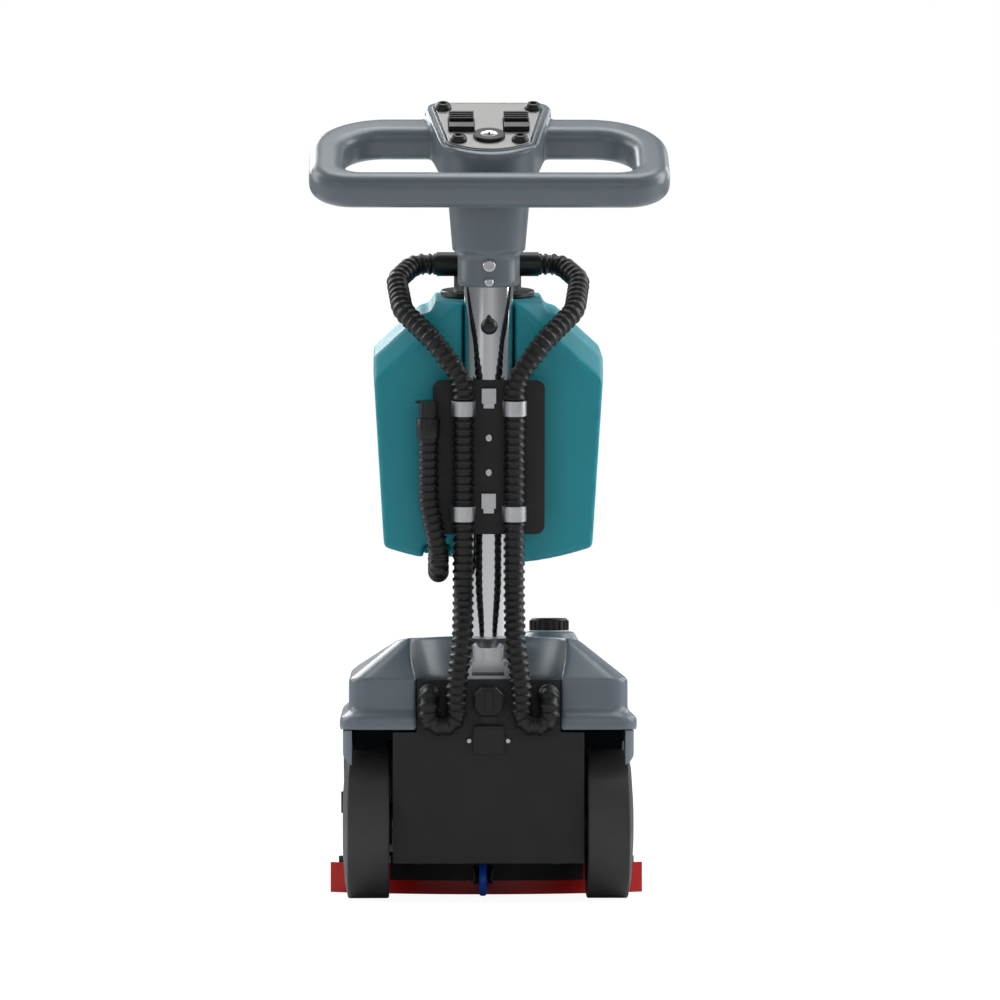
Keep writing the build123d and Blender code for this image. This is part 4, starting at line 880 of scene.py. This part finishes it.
def makeFork():
    # black side plates and a bright axle in one piece
    piece = copyOf("roller_axle", "rollerFork")
    middle = (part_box("guide_roller")[0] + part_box("guide_roller")[1]) / 2
    piece.data.materials.append(material["blackPlastic"])
    piece.data.materials.append(material["platedSteel"])
    for face in piece.data.polygons:
        aside = math.hypot(face.center.y - middle.y, face.center.z - middle.z)
        face.material_index = 1 if aside < forkLook["axleRadius"] else 0
    piece.data.shade_smooth()
    piece.data.set_sharp_from_angle(angle=math.radians(35))
    pieceFor(piece, "roller_axle")


makeFork()
print("roller fork")


# console fittings
consoleLook = {
    # outward from the plate, height over its face, radius
    "beads": [(0.0026, -0.0026, 0.0016), (0.0092, -0.0052, 0.0020)],
    "beadSides": 10, "beadSpacing": 0.003, "slotHalf": 0.0016, "slotDeep": 0.004,
}
# each cap's half section: a share of its radius, then metres up from its foot or down from its top
capFoot = [(0.0, 0.0), (1.0, 0.0), (1.0, 0.002), (0.93, 0.0042)]
capTop = [(0.70, 0.0006), (0.62, 0.0), (0.40, 0.0), (0.36, 0.0024), (0.0, 0.0026)]


def dishedScrews():
    # each cap screw is a low turned cap with a round recess
    piece = copyOf("panel_screws", "panelCaps")
    source = bmesh.new()
    source.from_mesh(piece.data)
    form = bmesh.new()
    for part in looseParts(source):
        island = [vertex.co for vertex in part]
        middle = sum(island, Vector()) / len(island)
        levels = [point.dot(plateUp) for point in island]
        low, high = min(levels), max(levels)
        wide = max(across(point - middle).length for point in island)
        profile = [(share * wide, level) for share, level in capFoot]
        profile += [(share * wide, high - low - drop) for share, drop in capTop]
        cap = ringSolid(profile, 36)
        base = middle - plateUp * (middle.dot(plateUp) - low)
        cap.transform(Matrix.Translation(base) @ plateTurn())
        form.from_mesh(cap)
    source.free()
    form.to_mesh(piece.data)
    form.free()
    shade(piece.data, material["capPlastic"], 35)
    pieceFor(piece, "panel_screws")


def across(offset):
    # the part of an offset that lies in the plate
    return offset - plateUp * offset.dot(plateUp)


def plateTurn():
    sideways = Vector((1, 0, 0))
    return Matrix((sideways, plateUp.cross(sideways), plateUp)).transposed().to_4x4()


def makeKeyFace():
    # a bright turned face with a slot cut in it; the slot's faces take the black cap plastic as painted shade
    piece = copyOf("key_barrel", "keyFace")
    piece.data.materials.append(material["platedSteel"])
    piece.data.materials.append(material["capPlastic"])
    top = max(vertex.co.dot(plateUp) for vertex in piece.data.vertices)
    for face in piece.data.polygons:
        below = top - face.center.dot(plateUp)
        shadedSlotStrip = abs(face.center.x - keyPoint.x) < consoleLook["slotHalf"]
        # painted shade: faces inside the keyway are coloured black instead of the barrel's plated steel
        face.material_index = 1 if shadedSlotStrip and 0.0002 < below < consoleLook["slotDeep"] else 0
    piece.data.shade_smooth()
    piece.data.set_sharp_from_angle(angle=math.radians(35))
    pieceFor(piece, "key_barrel")


def rimBeads():
    # two raised beads round the plate's edge, moulded in the handle's block
    source = copyOf("console_plate", "rimSource")
    points = [vertex.co.copy() for vertex in source.data.vertices]
    bpy.data.objects.remove(source)
    sideways = Vector((1, 0, 0))
    along = plateUp.cross(sideways)
    centre = sum(points, Vector()) / len(points)
    top = max(point.dot(plateUp) for point in points)
    flat = [((point - centre).dot(sideways), (point - centre).dot(along)) for point in points]
    hull = [flat[index] for index in convexHull(flat)]
    sides = consoleLook["beadSides"]
    corners, faces = [], []
    for outward, level, radius in consoleLook["beads"]:
        loop = offsetLoop(hull, outward, consoleLook["beadSpacing"])
        offset = len(corners)
        for index, (x, y) in enumerate(loop):
            (lastX, lastY), (nextX, nextY) = loop[index - 1], loop[(index + 1) % len(loop)]
            tangent = (sideways * (nextX - lastX) + along * (nextY - lastY)).normalized()
            outwardWay = tangent.cross(plateUp)
            base = centre + sideways * x + along * y
            base += plateUp * (top - base.dot(plateUp) + level)
            for number in range(sides):
                turn = 2 * math.pi * number / sides
                reach = outwardWay * math.cos(turn) + plateUp * math.sin(turn)
                corners.append(base + reach * radius)
        for ring in range(len(loop)):
            near = offset + ring * sides
            far = offset + (ring + 1) % len(loop) * sides
            for number in range(sides):
                beside = (number + 1) % sides
                faces.append((near + number, near + beside, far + beside, far + number))
    mesh = bpy.data.meshes.new("plateBeads")
    mesh.from_pydata(corners, [], faces)
    form = bmesh.new()
    form.from_mesh(mesh)
    bmesh.ops.recalc_face_normals(form, faces=form.faces)
    form.to_mesh(mesh)
    form.free()
    shade(mesh, material["greyHandle"], 60)
    piece = link("plateBeads", mesh)
    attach(piece, bodyOf["console_plate"])


def convexHull(points):
    order = sorted(range(len(points)), key=lambda index: points[index])

    def turnsLeft(a, b, c):
        return ((points[b][0] - points[a][0]) * (points[c][1] - points[a][1])
                - (points[b][1] - points[a][1]) * (points[c][0] - points[a][0])) > 1e-12

    hull = []
    for way in (order, order[::-1]):
        chain = []
        for index in way:
            while len(chain) > 1 and not turnsLeft(chain[-2], chain[-1], index):
                chain.pop()
            chain.append(index)
        hull += chain[:-1]
    return hull


def offsetLoop(loop, outward, spacing):
    # the loop moved outward, its corners worn round and its points spread evenly
    moved = []
    for (x, y), (nextX, nextY) in zip(loop, loop[1:] + loop[:1]):
        length = math.hypot(nextX - x, nextY - y)
        if length < 1e-6:
            continue
        outX, outY = (nextY - y) / length, (x - nextX) / length
        steps = max(1, round(length / spacing))
        for step in range(steps):
            share = step / steps
            moved.append((x + (nextX - x) * share + outX * outward,
                          y + (nextY - y) * share + outY * outward))
    for sweep in range(3):
        neighbours = zip(moved[-1:] + moved[:-1], moved, moved[1:] + moved[:1])
        moved = [((a[0] + 2 * b[0] + c[0]) / 4, (a[1] + 2 * b[1] + c[1]) / 4)
                 for a, b, c in neighbours]
    return moved


dishedScrews()
makeKeyFace()
rimBeads()
print("console fittings")
